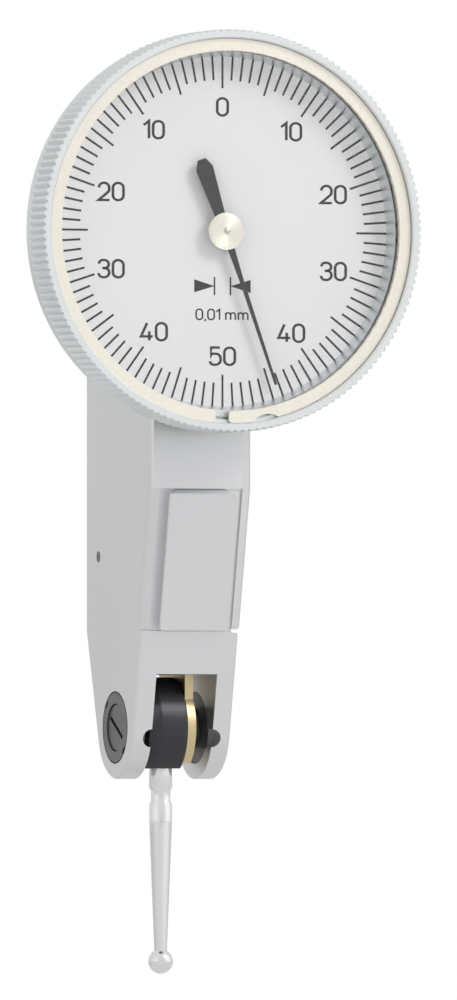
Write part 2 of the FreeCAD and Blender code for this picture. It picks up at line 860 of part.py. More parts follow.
def screw_shape(length):
    """A cheese-head screw, head up, with its head's underside at the origin."""
    shank = Part.makeCylinder(SIZES["screw_r"], length, FreeCAD.Vector(0, 0, -length))
    head = Part.makeCylinder(SIZES["screw_head_r"] - SIZES["running_play"], SIZES["screw_head"])
    width = SIZES["screw_slot"]
    reach = SIZES["screw_head_r"] * 2
    corner = FreeCAD.Vector(-reach / 2, -width / 2, SIZES["screw_head"] - SIZES["screw_slot_depth"])
    slot = Part.makeBox(reach, width, SIZES["screw_head"], corner)
    return shank.fuse(head).removeSplitter().cut(slot)


def screw_group(label, length, seats, facing, turns):
    """Identical screws in one node, each with its head's underside at a seat, pointing outwards."""
    screws = []
    for seat, turn in zip(seats, turns):
        spin = FreeCAD.Rotation(FreeCAD.Vector(0, 0, 1), turn)
        aim = FreeCAD.Rotation(FreeCAD.Vector(0, 0, 1), facing)
        place = FreeCAD.Vector(*(size(c).value for c in seat))
        screw = screw_shape(length)
        screw.Placement = FreeCAD.Placement(place, aim.multiply(spin))
        screws.append(screw)
    group = document.addObject("Part::Feature", label)
    group.Label = label
    group.Shape = Part.makeCompound(screws) if len(screws) > 1 else screws[0]
    nodes[label] = group


def build_screws():
    seat_x = D.seam_x + D.cover_thick - D.screw_head
    grip = SIZES["cover_screw_length"] + SIZES["cover_thick"] - SIZES["screw_head"] - SIZES["end_gap"]
    seats = [(seat_x, y, z) for y, z in cover_screw_places()]
    screw_group("cover_screws", grip, seats, FreeCAD.Vector(1, 0, 0), (20, 75, 130, 50))
    seat_y = bezel_y + D.standoff - D.case_floor
    grip = SIZES["case_floor"] + SIZES["case_screw_grip"] - SIZES["end_gap"]
    seats = [(x, seat_y, z) for x, z in case_screw_places()]
    screw_group("case_screws", grip, seats, FreeCAD.Vector(0, -1, 0), (10, 65, 110))
    under = cavity_top - D.bridge_thick
    grip = SIZES["bridge_thick"] + SIZES["bridge_screw_length"] - SIZES["end_gap"]
    seats = [(bridge_screw_x, bridge_screw_y, under)]
    screw_group("bridge_screw", grip, seats, FreeCAD.Vector(0, 0, -1), (0,))


# ---------------------------------------------------------------- dial case and bezel

def build_dial_case():
    groove_r = snap_r - D.snap_wire - D.snap_play
    inner_r = neck_r - D.neck_wall
    floor_y = D.standoff - D.case_floor
    part = turned("dial_case", "Y", [
        (D.seat_front, inner_r),
        (D.seat_front, seat_r),
        (snap_front - D.snap_play, seat_r),
        (snap_front - D.snap_play, groove_r),
        (snap_back + D.snap_play, groove_r),
        (snap_back + D.snap_play, seat_r),
        (D.seat_end, seat_r),
        (D.seat_end + D.seat_break, neck_r),
        (D.standoff - D.neck_break, neck_r),
        (D.standoff, neck_r - D.neck_break),
        (D.standoff, D.bush_r),
        (D.boss_front, D.bush_r),
        (D.boss_front, D.boss_r),
        (floor_y, D.boss_r),
        (floor_y, inner_r),
    ], y=bezel_y, z=D.dial_height)
    holes = new_sketch(part, "XZ_Plane", D.standoff + 1)
    for x, z in case_screw_places():
        circle(holes, x, z - D.dial_height, D.screw_r)
    pocket(holes, D.case_floor + 1 + D.cut_over, towards=-1)


def build_bezel():
    bore = ring_outer_r + D.ring_play
    rear_bore = seat_r + D.seat_play
    dial_back = D.dial_depth + D.dial_thick
    part = turned("bezel", "Y", [
        (D.ring_chamfer, bore),
        (0.0, bore + D.ring_chamfer),
        (0.0, lip_r),
        (D.lip_chamfer, D.bezel_r),
        (D.knurl_end, D.bezel_r),
        (D.knurl_end, band_r),
        (D.band_end - D.band_step, band_r),
        (D.band_end, band_r - D.band_step),
        (D.band_end, rear_bore),
        (snap_back + D.snap_play, rear_bore),
        (snap_back + D.snap_play, snap_r + D.snap_play),
        (snap_front - D.snap_play, snap_r + D.snap_play),
        (snap_front - D.snap_play, rear_bore),
        (dial_back + D.snap_play, rear_bore),
        (dial_back + D.snap_play, dial_r + D.ring_play),
        (D.dial_depth, dial_r + D.ring_play),
        (D.dial_depth, rehaut_rear_r),
        (crystal_back, rehaut_front_r),
        (crystal_back, crystal_r + D.ring_play),
        (ring_back, crystal_r + D.ring_play),
        (ring_back, bore),
    ], y=bezel_y, z=D.dial_height)
    groove = new_sketch(part, "XZ_Plane", -1.0)
    floor_r = D.bezel_r - D.knurl_depth
    reach = D.bezel_r + D.knurl_depth
    outline(groove, [(floor_r, 0.0), (reach, -D.knurl_depth * 2), (reach, D.knurl_depth * 2)])
    cut = pocket(groove, D.knurl_end + 1)
    ring_pattern(part, cut, "Y", D.knurl_count)


def build_retaining_ring():
    face_y = bezel_y + D.ring_step
    part = new_part("retaining_ring", 0.0, face_y, D.dial_height, "0; 1; 0", D.ring_gap_deg)
    blank = new_sketch(part, "XZ_Plane")
    circle(blank, 0.0, 0.0, ring_outer_r)
    circle(blank, 0.0, 0.0, ring_inner_r)
    pad(blank, D.ring_thick)
    gap = new_sketch(part, "XZ_Plane")
    box_outline(gap, -D.ring_gap / 2, D.ring_gap / 2, -ring_outer_r - 1, -ring_inner_r + 1)
    pocket(gap, D.ring_thick)
    notch = new_sketch(part, "XZ_Plane")
    notch_r = ring_outer_r + D.notch_out
    circle(notch, notch_r * sind(D.notch_deg), -notch_r * cosd(D.notch_deg), D.notch_r)
    pocket(notch, D.ring_thick)

    def end_corner(point, edge):
        through = 0 < point.y < SIZES["ring_thick"]
        return through and point.z < 0 and abs(abs(point.x) - SIZES["ring_gap"] / 2) < 1e-3

    soften(part, "Fillet", edges_where(part, end_corner), D.ring_corner)


def build_dial_group():
    turned("crystal", "Y", [
        (ring_back, 0.0),
        (ring_back, crystal_r),
        (crystal_back, crystal_r),
        (crystal_back, 0.0),
    ], y=bezel_y, z=D.dial_height)
    turned("dial_plate", "Y", [
        (D.dial_depth, D.dial_hole_r),
        (D.dial_depth, dial_r),
        (D.dial_depth + D.dial_thick, dial_r),
        (D.dial_depth + D.dial_thick, D.dial_hole_r),
    ], y=bezel_y, z=D.dial_height)
    wire = new_part("bezel_snap_wire", 0.0, bezel_y, D.dial_height)
    section = new_sketch(wire, "XY_Plane")
    box_outline(section, snap_r - D.snap_wire, snap_r, snap_front, snap_back)
    revolve(section, "V_Axis", angle=D.snap_wrap_deg)


# ---------------------------------------------------------------- pointer

def build_pointer():
    back = D.hub_front + D.hub_thick
    part = new_part("pointer", 0.0, bezel_y, D.dial_height, "0; 1; 0", D.pointer_deg)
    blade = new_sketch(part, "XZ_Plane", back)
    outline(blade, [
        (D.pointer_tip_half, pointer_tip),
        (-D.pointer_tip_half, pointer_tip),
        (-D.pointer_neck_half, D.pointer_neck),
        (-D.pointer_root_half, 0.0),
        (-D.tail_half, -D.tail_shoulder),
        (-D.tail_end_half, -D.tail_length),
        (D.tail_end_half, -D.tail_length),
        (D.tail_half, -D.tail_shoulder),
        (D.pointer_root_half, 0.0),
        (D.pointer_neck_half, D.pointer_neck),
    ])
    pad(blade, D.pointer_thick)
    collar = new_sketch(part, "XZ_Plane", back)
    circle(collar, 0.0, 0.0, D.hub_boss_r + D.pointer_eye)
    pad(collar, D.pointer_thick)
    hole = new_sketch(part, "XZ_Plane", back)
    circle(hole, 0.0, 0.0, D.hub_boss_r)
    pocket(hole, D.pointer_thick)
    turned("pointer_hub", "Y", [
        (D.hub_front, D.spindle_r),
        (D.hub_front, D.hub_face_r),
        (D.hub_front + D.hub_step, D.hub_face_r),
        (D.hub_front + D.hub_step, D.hub_r),
        (back, D.hub_r),
        (back, D.hub_boss_r),
        (back + D.hub_boss, D.hub_boss_r),
        (back + D.hub_boss, D.spindle_r),
    ], y=bezel_y, z=D.dial_height)
    bush_front = D.boss_front - D.bush_flange
    turned("front_bush", "Y", [
        (bush_front, D.spindle_r + D.running_play),
        (bush_front, D.bush_flange_r),
        (D.boss_front, D.bush_flange_r),
        (D.boss_front, D.bush_r),
        (D.standoff, D.bush_r),
        (D.standoff, D.spindle_r + D.running_play),
    ], y=bezel_y, z=D.dial_height)


def build_centre_spindle():
    tip_r = centre_r + D.crown_module
    end = pinion_back + D.bridge_gap + D.bridge_thick
    first_space = 180 / D.centre_teeth
    part = turned("centre_spindle", "Y", [
        (D.hub_front - D.spindle_stand, 0.0),
        (D.hub_front - D.spindle_stand, D.spindle_r / 3),
        (D.hub_front, D.spindle_r),
        (pinion_front, D.spindle_r),
        (pinion_front, tip_r),
        (pinion_back, tip_r),
        (pinion_back, D.spindle_r),
        (end, D.spindle_r),
        (end, 0.0),
    ], y=bezel_y, z=D.dial_height)
    space = new_sketch(part, "XZ_Plane", pinion_front - D.cut_over)
    outline(space, tooth_space(D.crown_module, D.centre_teeth, first_space))
    cut = pocket(space, (D.crown_face + D.cut_over) * 2)
    ring_pattern(part, cut, "Y", D.centre_teeth)


# ---------------------------------------------------------------- gear train

def build_crown():
    outer_r = crown_r + D.crown_face
    inner_r = crown_r - D.crown_face
    tip_x = -centre_r + D.crown_module
    root_x = -centre_r - D.crown_module * D.tooth_root
    back_x = root_x - D.crown_web
    part = turned("crown_wheel", "X", [
        (back_x, D.arbor_r),
        (back_x, outer_r),
        (tip_x, outer_r),
        (tip_x, inner_r),
        (back_x + D.crown_disc, inner_r),
        (back_x + D.crown_disc, D.crown_hub_r),
        (root_x, D.crown_hub_r),
        (root_x, D.arbor_r),
    ], y=pivot_y, z=D.dial_height)
    gap = D.crown_module * (math.pi / 2) + D.backlash
    low = gap / 2 - D.crown_module * D.tooth_root * tand(D.pressure_deg)
    high = gap / 2 + D.crown_module * D.tooth_open * tand(D.pressure_deg)
    space = new_sketch(part, "XZ_Plane", -outer_r - D.cut_over)
    top_x = -centre_r + D.crown_module * D.tooth_open
    outline(space, [(root_x, low), (root_x, -low), (top_x, -high), (top_x, high)])
    cut = pocket(space, (D.crown_face + D.cut_over) * 2)
    ring_pattern(part, cut, "X", D.crown_teeth)
    crossing = new_sketch(part, "YZ_Plane", back_x)
    spoke_r = (inner_r + D.crown_hub_r) / 2
    circle(crossing, 0.0, spoke_r, (inner_r - D.crown_hub_r) / 2 - D.crown_rim)
    hole = pocket(crossing, D.crown_disc)
    ring_pattern(part, hole, "X", D.crown_holes)


def build_arbor():
    tip_r = arbor_pitch_r + D.train_module
    left_end = cavity_x - D.bearing_sink + D.end_gap
    left_step = cavity_x + D.bearing_stand + D.journal_gap
    right_end = D.seam_x + D.bearing_sink - D.end_gap
    right_step = D.seam_x - D.bearing_stand - D.journal_gap
    pinion_left = D.sector_x - D.end_gap
    pinion_right = sector_end_x + D.end_gap
    part = turned("crown_arbor", "X", [
        (left_end, 0.0),
        (left_end, D.journal_r),
        (left_step, D.journal_r),
        (left_step, D.arbor_r),
        (pinion_left, D.arbor_r),
        (pinion_left, tip_r),
        (pinion_right, tip_r),
        (pinion_right, D.arbor_r),
        (right_step, D.arbor_r),
        (right_step, D.journal_r),
        (right_end, D.journal_r),
        (right_end, 0.0),
    ], y=pivot_y, z=D.dial_height)
    space = new_sketch(part, "YZ_Plane", pinion_left - D.cut_over)
    outline(space, tooth_space(D.train_module, D.arbor_teeth, 90 + 180 / D.arbor_teeth))
    cut = pocket(space, pinion_right - pinion_left + D.cut_over * 2)
    ring_pattern(part, cut, "X", D.arbor_teeth)
    turned("sector_axle", "X", [
        (left_end, 0.0),
        (left_end, D.journal_r),
        (left_step, D.journal_r),
        (left_step, D.arbor_r),
        (right_step, D.arbor_r),
        (right_step, D.journal_r),
        (right_end, D.journal_r),
        (right_end, 0.0),
    ], y=pivot_y, z=sector_z)
    collet_x = cavity_x + D.bearing_stand + D.end_gap
    collet_end = collet_x + D.hairspring_width + D.end_gap
    turned("hairspring_collet", "X", [
        (collet_x, D.arbor_r),
        (collet_x, D.collet_r),
        (collet_end, D.collet_r),
        (collet_end, D.arbor_r),
    ], y=pivot_y, z=D.dial_height)


def build_bearings():
    """Blind brass bushes in the left wall and in the cover, one pair for each arbor."""
    bore = D.journal_r + D.bearing_play
    for side, name in ((-1, "left"), (1, "right")):
        wall = cavity_x if side < 0 else D.seam_x
        inner = wall - D.bearing_stand * side
        outer = wall + D.bearing_sink * side
        for z, what in ((sector_z, "sector"), (D.dial_height, "crown")):
            turned("%s_%s_bearing" % (what, name), "X", [
                (inner, bore),
                (inner, D.bearing_r),
                (outer, D.bearing_r),
                (outer, bore),
            ], y=pivot_y, z=z)


def build_sector():
    part = new_part("sector_lever", 0.0, pivot_y, sector_z)
    tip_r = train_r + D.train_module
    half_deg = 180 / D.sector_full_teeth * (D.sector_teeth + 0.4)
    head = new_sketch(part, "YZ_Plane", D.sector_x)
    head_y = tip_r * sind(half_deg)
    head_z = tip_r * cosd(half_deg)
    arm_half = D.sector_hub_r * D.sector_arm
    outline(head, [
        (arm_half, 0.0),
        (arm_half, head_z * D.sector_waist),
        (head_y, head_z - D.sector_rim),
        (head_y, head_z, 0.0, 0.0, 1),
        (-head_y, head_z),
        (-head_y, head_z - D.sector_rim),
        (-arm_half, head_z * D.sector_waist),
        (-arm_half, 0.0),
    ])
    pad(head, D.sector_thick)
    tail = new_sketch(part, "YZ_Plane", D.sector_x)
    tail_end = -tail_length - D.sector_tail_end
    belt(tail, [(0.0, 0.0, D.sector_hub_r), (-D.sector_tail_half, tail_end), (D.sector_tail_half, tail_end)])
    pad(tail, D.sector_thick)
    fork = new_sketch(part, "YZ_Plane", D.sector_x)
    slot_half = D.pin_r + D.pin_play
    belt(fork, [
        (0.0, -tail_length + D.fork_lead, slot_half),
        (-slot_half, tail_end - D.fork_open),
        (slot_half, tail_end - D.fork_open),
    ])
    pocket(fork, D.sector_thick)
    bore = new_sketch(part, "YZ_Plane", D.sector_x)
    circle(bore, 0.0, 0.0, D.arbor_r)
    pocket(bore, D.sector_thick)
    space = new_sketch(part, "YZ_Plane", D.sector_x)
    pitch_deg = 360 / D.sector_full_teeth
    outline(space, tooth_space(D.train_module, D.sector_full_teeth, 90 - pitch_deg * (D.sector_teeth / 2)))
    cut = pocket(space, D.sector_thick)
    ring_pattern(part, cut, "X", D.sector_teeth + 1, pitch_deg * D.sector_teeth)


def build_bridge():
    """A hanger from the roof of the cavity that carries the back end of the centre spindle."""
    part = new_part("spindle_bridge", 0.0, bridge_y, 0.0)
    low_z = D.dial_height - D.bridge_lip
    plate = new_sketch(part, "YZ_Plane", -D.bridge_half)
    outline(plate, [
        (0.0, low_z),
        (D.bridge_thick, low_z),
        (D.bridge_thick, cavity_top - D.bridge_thick),
        (D.bridge_foot, cavity_top - D.bridge_thick),
        (D.bridge_foot, cavity_top),
        (0.0, cavity_top),
    ])
    pad(plate, D.bridge_half * D.bridge_aspect)
    bore = new_sketch(part, "XZ_Plane", -D.cut_over)
    circle(bore, 0.0, D.dial_height, D.spindle_r + D.running_play)
    pocket(bore, D.bridge_thick + 1)
    screw_hole = new_sketch(part, "XY_Plane", cavity_top)
    circle(screw_hole, bridge_screw_x, bridge_screw_y - bridge_y, D.screw_r)
    pocket(screw_hole, D.bridge_thick, towards=-1)


def build_hairspring():
    """A flat coil round the collet, in half turns, with its outer end in a stud on the left wall."""
    left = cavity_x + D.bearing_stand + D.spring_gap
    part = new_part("hairspring", left, pivot_y, D.dial_height)
    coil = new_sketch(part, "YZ_Plane")
    half_pitch = D.hairspring_pitch / 2
    inner = []
    outer = []
    for half_turn in range(2 * SIZES["hairspring_turns"] + 1):
        radius = D.hairspring_r + half_pitch * half_turn
        upper = half_turn % 2 == 0
        side = 1 if upper else -1
        centre = size(0.0) if upper else half_pitch
        inner.append((radius, centre, side))
        outer.append((radius + D.hairspring_strip, centre, side))
    corners = []
    for i, (radius, centre, side) in enumerate(inner[:-1]):
        corners.append((size(0.0), start_height(radius, centre, side), size(0.0), centre, 1))
    radius, centre, side = inner[-1]
    corners.append((size(0.0), start_height(radius, centre, side)))
    for i in range(len(outer) - 1, 0, -1):
        radius, centre, side = outer[i]
        before = outer[i - 1][1]
        corners.append((size(0.0), start_height(radius, centre, side), size(0.0), before, -1))
    radius, centre, side = outer[0]
    corners.append((size(0.0), start_height(radius, centre, side)))
    outline(coil, corners)
    pad(coil, D.hairspring_width)
    turned("hairspring_stud", "X", [
        (cavity_x - D.bearing_sink, 0.0),
        (cavity_x - D.bearing_sink, D.stud_r),
        (left + D.hairspring_width, D.stud_r),
        (left + D.hairspring_width, 0.0),
    ], y=pivot_y, z=stud_z)


def start_height(radius, centre, side):
    """Where a half turn of the coil starts, above or below the arbor."""
    return centre + radius * side if side > 0 else centre - radius


# ---------------------------------------------------------------- measuring lever and clutch

def build_lever():
    part = new_part("measuring_lever", 0.0, pivot_y, pivot_z)
    plate = new_sketch(part, "YZ_Plane", D.lever_x)
    flat_y = root(D.lever_disc_r * D.lever_disc_r - D.lever_flat * D.lever_flat)
    side_z = root(D.lever_disc_r * D.lever_disc_r - D.lever_half * D.lever_half)
    outline(plate, [
        (D.lever_half, side_z),
        (D.lever_half, arm_length - D.lever_neck),
        (D.lever_head_r, arm_length),
        (-D.lever_head_r, arm_length),
        (-D.lever_half, arm_length - D.lever_neck),
        (-D.lever_half, side_z, 0.0, 0.0, 1),
        (-flat_y, -D.lever_flat),
        (flat_y, -D.lever_flat, 0.0, 0.0, 1),
    ])
    pad(plate, D.lever_thick)
    head = new_sketch(part, "YZ_Plane", D.lever_x)
    circle(head, 0.0, arm_length, D.lever_head_r)
    pad(head, D.lever_thick)
    holes = new_sketch(part, "YZ_Plane", D.lever_x)
    circle(holes, 0.0, 0.0, D.axle_r)
    circle(holes, 0.0, arm_length, D.pin_r)
    circle(holes, 0.0, (D.lever_disc_r + arm_length) / 2, D.lever_half * D.lever_hole)
    pocket(holes, D.lever_thick)
    turned("lever_pin", "X", [
        (D.lever_x, 0.0),
        (D.lever_x, D.pin_r),
        (sector_end_x + D.end_gap, D.pin_r),
        (sector_end_x + D.end_gap, 0.0),
    ], y=pivot_y, z=pivot_z + arm_length)


def build_axle():
    journal_end = D.slot_half + D.pivot_inset + D.axle_reach
    shaft_end = D.slot_half - D.axle_play
    flange_left = -D.hub_left + D.flange_sink
    flange_right = flange_left + D.axle_flange
    turned("lever_axle", "X", [
        (-journal_end, 0.0),
        (-journal_end, D.axle_journal_r),
        (-shaft_end, D.axle_journal_r),
        (-shaft_end, D.axle_r),
        (flange_left, D.axle_r),
        (flange_left, D.axle_flange_r),
        (flange_right, D.axle_flange_r),
        (flange_right, D.axle_r),
        (shaft_end, D.axle_r),
        (shaft_end, D.axle_journal_r),
        (journal_end, D.axle_journal_r),
        (journal_end, 0.0),
    ], y=pivot_y, z=pivot_z)
    inner = lever_end_x
    turned("clutch_washer", "X", [
        (inner, D.washer_r),
        (inner + D.washer_dish, D.axle_r),
        (inner + D.washer_dish + D.washer_thick, D.axle_r),
        (inner + D.washer_thick, D.washer_r),
    ], y=pivot_y, z=pivot_z)
    nut_left = inner + D.washer_dish + D.washer_thick
    nut = turned("clutch_nut", "X", [
        (nut_left, D.axle_r),
        (nut_left, D.nut_r),
        (nut_left + D.nut_thick - D.turned_break, D.nut_r),
        (nut_left + D.nut_thick, D.nut_r - D.turned_break),
        (nut_left + D.nut_thick, D.axle_r),
    ], y=pivot_y, z=pivot_z)
    for side in (-1, 1):
        flat = new_sketch(nut, "YZ_Plane", nut_left)
        box_outline(flat, -D.nut_r, D.nut_r, D.nut_flat * side, D.nut_flat * side + side)
        pocket(flat, D.nut_thick)


def build_clutch_hub():
    bore = D.axle_r + D.clutch_play
    right = D.lever_x - D.clutch_gap
    recess_r = D.axle_flange_r + D.end_gap
    recess = -D.hub_left + D.axle_flange + D.end_gap
    part = turned("clutch_hub", "X", [
        (recess, bore),
        (recess, recess_r),
        (-D.hub_left, recess_r),
        (-D.hub_left, D.clutch_face_r),
        (-D.hub_left + D.clutch_chamfer, D.clutch_hub_r),
        (right - D.clutch_rim, D.clutch_hub_r),
        (right, D.clutch_hub_r - D.clutch_rim),
        (right, bore),
    ], y=pivot_y, z=pivot_z)
    flat = new_sketch(part, "XZ_Plane")
    box_outline(flat, -D.hub_left - 1, D.lever_x + 1, -D.clutch_hub_r - 1, -D.clutch_flat)
    pocket(flat, D.clutch_hub_r * 3, both=True)
    tapped = new_sketch(part, "XY_Plane", -D.clutch_flat)
    circle(tapped, D.stylus_x, 0.0, D.thread_r)
    pocket(tapped, D.clutch_flat - D.thread_top)


def build_stylus():
    end_z = -D.stylus_length + root(D.ball_r * D.ball_r - D.stylus_end_r * D.stylus_end_r)
    part = turned("stylus", "Z", [
        (-D.thread_top, 0.0),
        (-D.thread_top, D.thread_r),
        (-D.clutch_flat, D.thread_r),
        (-D.clutch_flat, D.stylus_r),
        (-D.neck_top, D.stylus_r),
        (-D.neck_top - D.neck_lead, D.neck_cut_r),
        (-D.neck_end, D.neck_cut_r),
        (-D.neck_end - D.neck_lead, D.stylus_r),
        (-D.taper_start, D.stylus_r),
        (end_z, D.stylus_end_r),
        (end_z, 0.0),
    ], x=D.stylus_x, y=pivot_y, z=pivot_z)
    flats = new_sketch(part, "XZ_Plane")
    for side in (-1, 1):
        box_outline(flats, (D.neck_cut_r - D.neck_flat) * side, (D.stylus_r + 1) * side,
                    -D.neck_end, -D.neck_top - D.neck_lead)
    pocket(flats, D.stylus_r * 4, both=True)
    ball = new_part("contact_ball", D.stylus_x, pivot_y, pivot_z)
    section = new_sketch(ball, "XZ_Plane")
    outline(section, [
        (0.0, -D.stylus_length - D.ball_r, 0.0, -D.stylus_length, 1),
        (D.stylus_end_r, end_z),
        (0.0, end_z),
    ])
    revolve(section, "V_Axis")


def build_pivot_bearings():
    """A threaded bush in each ear, with a slotted screw whose blind bore carries the axle."""
    for side, name, face in ((-1, "left", D.case_left), (1, "right", D.case_right)):
        inner = (D.slot_half + D.pivot_inset) * side
        outer = face * side
        groove_floor = outer - D.pivot_groove_depth * side
        bush = turned(name + "_pivot_bush", "X", [
            (inner, D.pivot_screw_r),
            (inner, D.pivot_bush_r),
            (groove_floor, D.pivot_bush_r),
            (groove_floor, D.pivot_bush_r - D.pivot_groove),
            (outer, D.pivot_bush_r - D.pivot_groove),
            (outer, D.pivot_screw_r),
        ], y=pivot_y, z=pivot_z, turn=-D.spanner_deg)
        notches = new_sketch(bush, "YZ_Plane", outer)
        half = D.spanner_notch / 2
        middle = (D.pivot_bush_r + D.pivot_screw_r) / 2
        for end in (-1, 1):
            box_outline(notches, -half, half, (middle + D.spanner_floor) * end, (D.pivot_bush_r + 1) * end)
        pocket(notches, D.spanner_depth, towards=-side)
        screw_face = outer - D.pivot_sink * side
        bore_end = inner + (D.axle_reach + D.axle_screw_play) * side
        screw = turned(name + "_pivot_screw", "X", [
            (inner, D.axle_journal_r + D.running_play),
            (inner, D.pivot_screw_r),
            (screw_face - D.turned_break * side, D.pivot_screw_r),
            (screw_face, D.pivot_screw_r - D.turned_break),
            (screw_face, 0.0),
            (bore_end, 0.0),
            (bore_end, D.axle_journal_r + D.running_play),
        ], y=pivot_y, z=pivot_z, turn=-D.pivot_slot_deg)
        slot = new_sketch(screw, "YZ_Plane", screw_face)
        reach = D.pivot_screw_r - D.pivot_slot_end
        box_outline(slot, -D.pivot_slot / 2, D.pivot_slot / 2, -reach, reach)
        pocket(slot, D.pivot_slot_depth, towards=-side)


def build_stop_pin():
    turned("travel_stop_pin", "X", [
        (-D.case_left, 0.0),
        (-D.case_left, D.stop_pin_r),
        (lever_end_x + D.stop_overlap, D.stop_pin_r),
        (lever_end_x + D.stop_overlap, 0.0),
    ], y=stop_y, z=stop_z)


build_housing()
build_cover()
build_screws()
build_dial_case()
build_bezel()
build_retaining_ring()
build_dial_group()
build_pointer()
build_centre_spindle()
build_crown()
build_arbor()
build_bearings()
build_sector()
build_bridge()
build_hairspring()
build_lever()
build_axle()
build_clutch_hub()
build_stylus()
build_pivot_bearings()
build_stop_pin()
document.recompute()

faults = []
for item in document.Objects:
    if "Invalid" in item.State or "Error" in item.State:
        faults.append("%s is %s" % (item.Name, item.State))
for label, item in nodes.items():
    if item.Shape.isNull() or not item.Shape.isValid() or not item.Shape.Solids:
        faults.append("%s has no sound shape" % label)
if faults:
    raise RuntimeError("; ".join(faults))

os.makedirs("parts", exist_ok=True)
for label, item in nodes.items():
    item.Shape.exportStep("parts/%s.step" % label)
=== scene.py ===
import math

import bmesh
import bpy
from mathutils import Matrix, Vector


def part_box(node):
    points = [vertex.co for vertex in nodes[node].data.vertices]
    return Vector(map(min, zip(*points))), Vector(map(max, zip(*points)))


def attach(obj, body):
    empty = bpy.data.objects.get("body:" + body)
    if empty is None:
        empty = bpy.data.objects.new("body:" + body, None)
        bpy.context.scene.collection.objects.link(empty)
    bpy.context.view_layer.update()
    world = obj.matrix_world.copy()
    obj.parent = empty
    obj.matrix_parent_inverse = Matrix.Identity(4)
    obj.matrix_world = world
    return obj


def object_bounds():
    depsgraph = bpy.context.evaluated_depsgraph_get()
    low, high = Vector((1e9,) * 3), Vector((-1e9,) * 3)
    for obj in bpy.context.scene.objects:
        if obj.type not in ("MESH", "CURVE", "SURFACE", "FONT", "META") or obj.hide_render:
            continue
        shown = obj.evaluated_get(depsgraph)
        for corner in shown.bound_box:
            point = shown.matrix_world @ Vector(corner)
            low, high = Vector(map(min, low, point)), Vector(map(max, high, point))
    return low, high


bl_info = {
    "name": "Dial test indicator",
    "version": (1, 0, 0),
    "blender": (4, 5, 0),
    "location": "3D View > Sidebar > Indicator",
    "description": "Prints the dial, finishes every surface and lights a lever-type dial test indicator",
    "category": "Object",
}

MM = 0.001
X_AXIS, Y_AXIS = 0, 1

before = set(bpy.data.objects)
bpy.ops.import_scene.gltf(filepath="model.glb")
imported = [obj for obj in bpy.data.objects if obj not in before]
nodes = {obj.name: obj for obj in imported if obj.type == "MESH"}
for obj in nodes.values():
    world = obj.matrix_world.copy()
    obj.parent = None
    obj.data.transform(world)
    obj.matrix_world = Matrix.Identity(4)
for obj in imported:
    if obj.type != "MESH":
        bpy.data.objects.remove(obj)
cad_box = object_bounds()

dial_low, dial_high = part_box("dial_plate")
DIAL_X = (dial_low.x + dial_high.x) / 2
DIAL_Z = (dial_low.z + dial_high.z) / 2
DIAL_FACE = dial_low.y
DIAL_CENTRE = (DIAL_X, DIAL_FACE, DIAL_Z)
TURNING_AXIS = (DIAL_X, 0, DIAL_Z)
BEZEL_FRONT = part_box("bezel")[0].y
PIVOT = tuple((a + b) / 2 for a, b in zip(*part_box("left_pivot_screw")))

# How the CAD pieces are shown: their triangles merge within a distance, and edges sharper
# than an angle stay crisp.
MERGE_DISTANCE = 0.0005 * MM
CRISP_ANGLE = math.radians(30)

# The dial's print
LONG_EVERY = 5        # one line in five is long
FIGURE_EVERY = 10     # divisions from figure to figure
CORNER_STEPS = 6      # straight pieces in a rounded corner of a figure
SAME_POINT = 1e-4     # points of a run closer than this are one
CLOSED_GAP = 1e-3     # a run whose ends are closer than this is a loop
SHARPEST_MITRE = 0.35

# Surface relief, as depth over the size of the grain or the pitch of the rings
GRAIN_DEPTH = 0.3
RING_DEPTH = 0.25
FINE_RELIEF = 0.01 * MM
CLOUD_SIZE = 9 * MM
TOOL_MARKS = (1, 1, 0.08)
EVEN_GRAIN = (1, 1, 1)
DRUM_SHADE = 1.03
LEVER_SHADE = 0.78

# The stage: lamps stand off the part's centre (metres, watts), and metal mirrors soft patches
# of the room: azimuth and elevation in degrees, sharpness, and how much brighter it is there.
KEY_LAMP = {"offset": (0.34, -0.40, 0.40), "size": 0.28, "power": 1.7, "mirrored": True}
FILL_LAMP = {"offset": (-0.45, -0.20, 0.10), "size": 0.40, "power": 0.35, "mirrored": False}
LEFT_WINDOW = (-72, 5, 6, 0.22)
RIGHT_WINDOW = (58, 12, 6, 0.40)
CEILING = (0, 85, 3, 0.10)
DIM_GAP = (-11, -12, 50, -0.50)
METAL_LIGHT = 0.78
PLAIN_LIGHT = 0.62
FLOOR_GLOW = 0.45
NEAREST, FARTHEST = 0.01, 50


# ---------------------------------------------------------------- sizes and colours to change

def length_setting(name, description, millimetres):
    return bpy.props.FloatProperty(
        name=name, description=description, default=millimetres * MM, unit="LENGTH")


def angle_setting(name, description, degrees):
    return bpy.props.FloatProperty(
        name=name, description=description, default=math.radians(degrees), subtype="ANGLE")


def number_setting(name, description, number):
    return bpy.props.FloatProperty(name=name, description=description, default=number)


def colour_setting(name, description, *colour):
    return bpy.props.FloatVectorProperty(
        name=name, description=description, subtype="COLOR", size=3, default=colour, min=0, max=1)


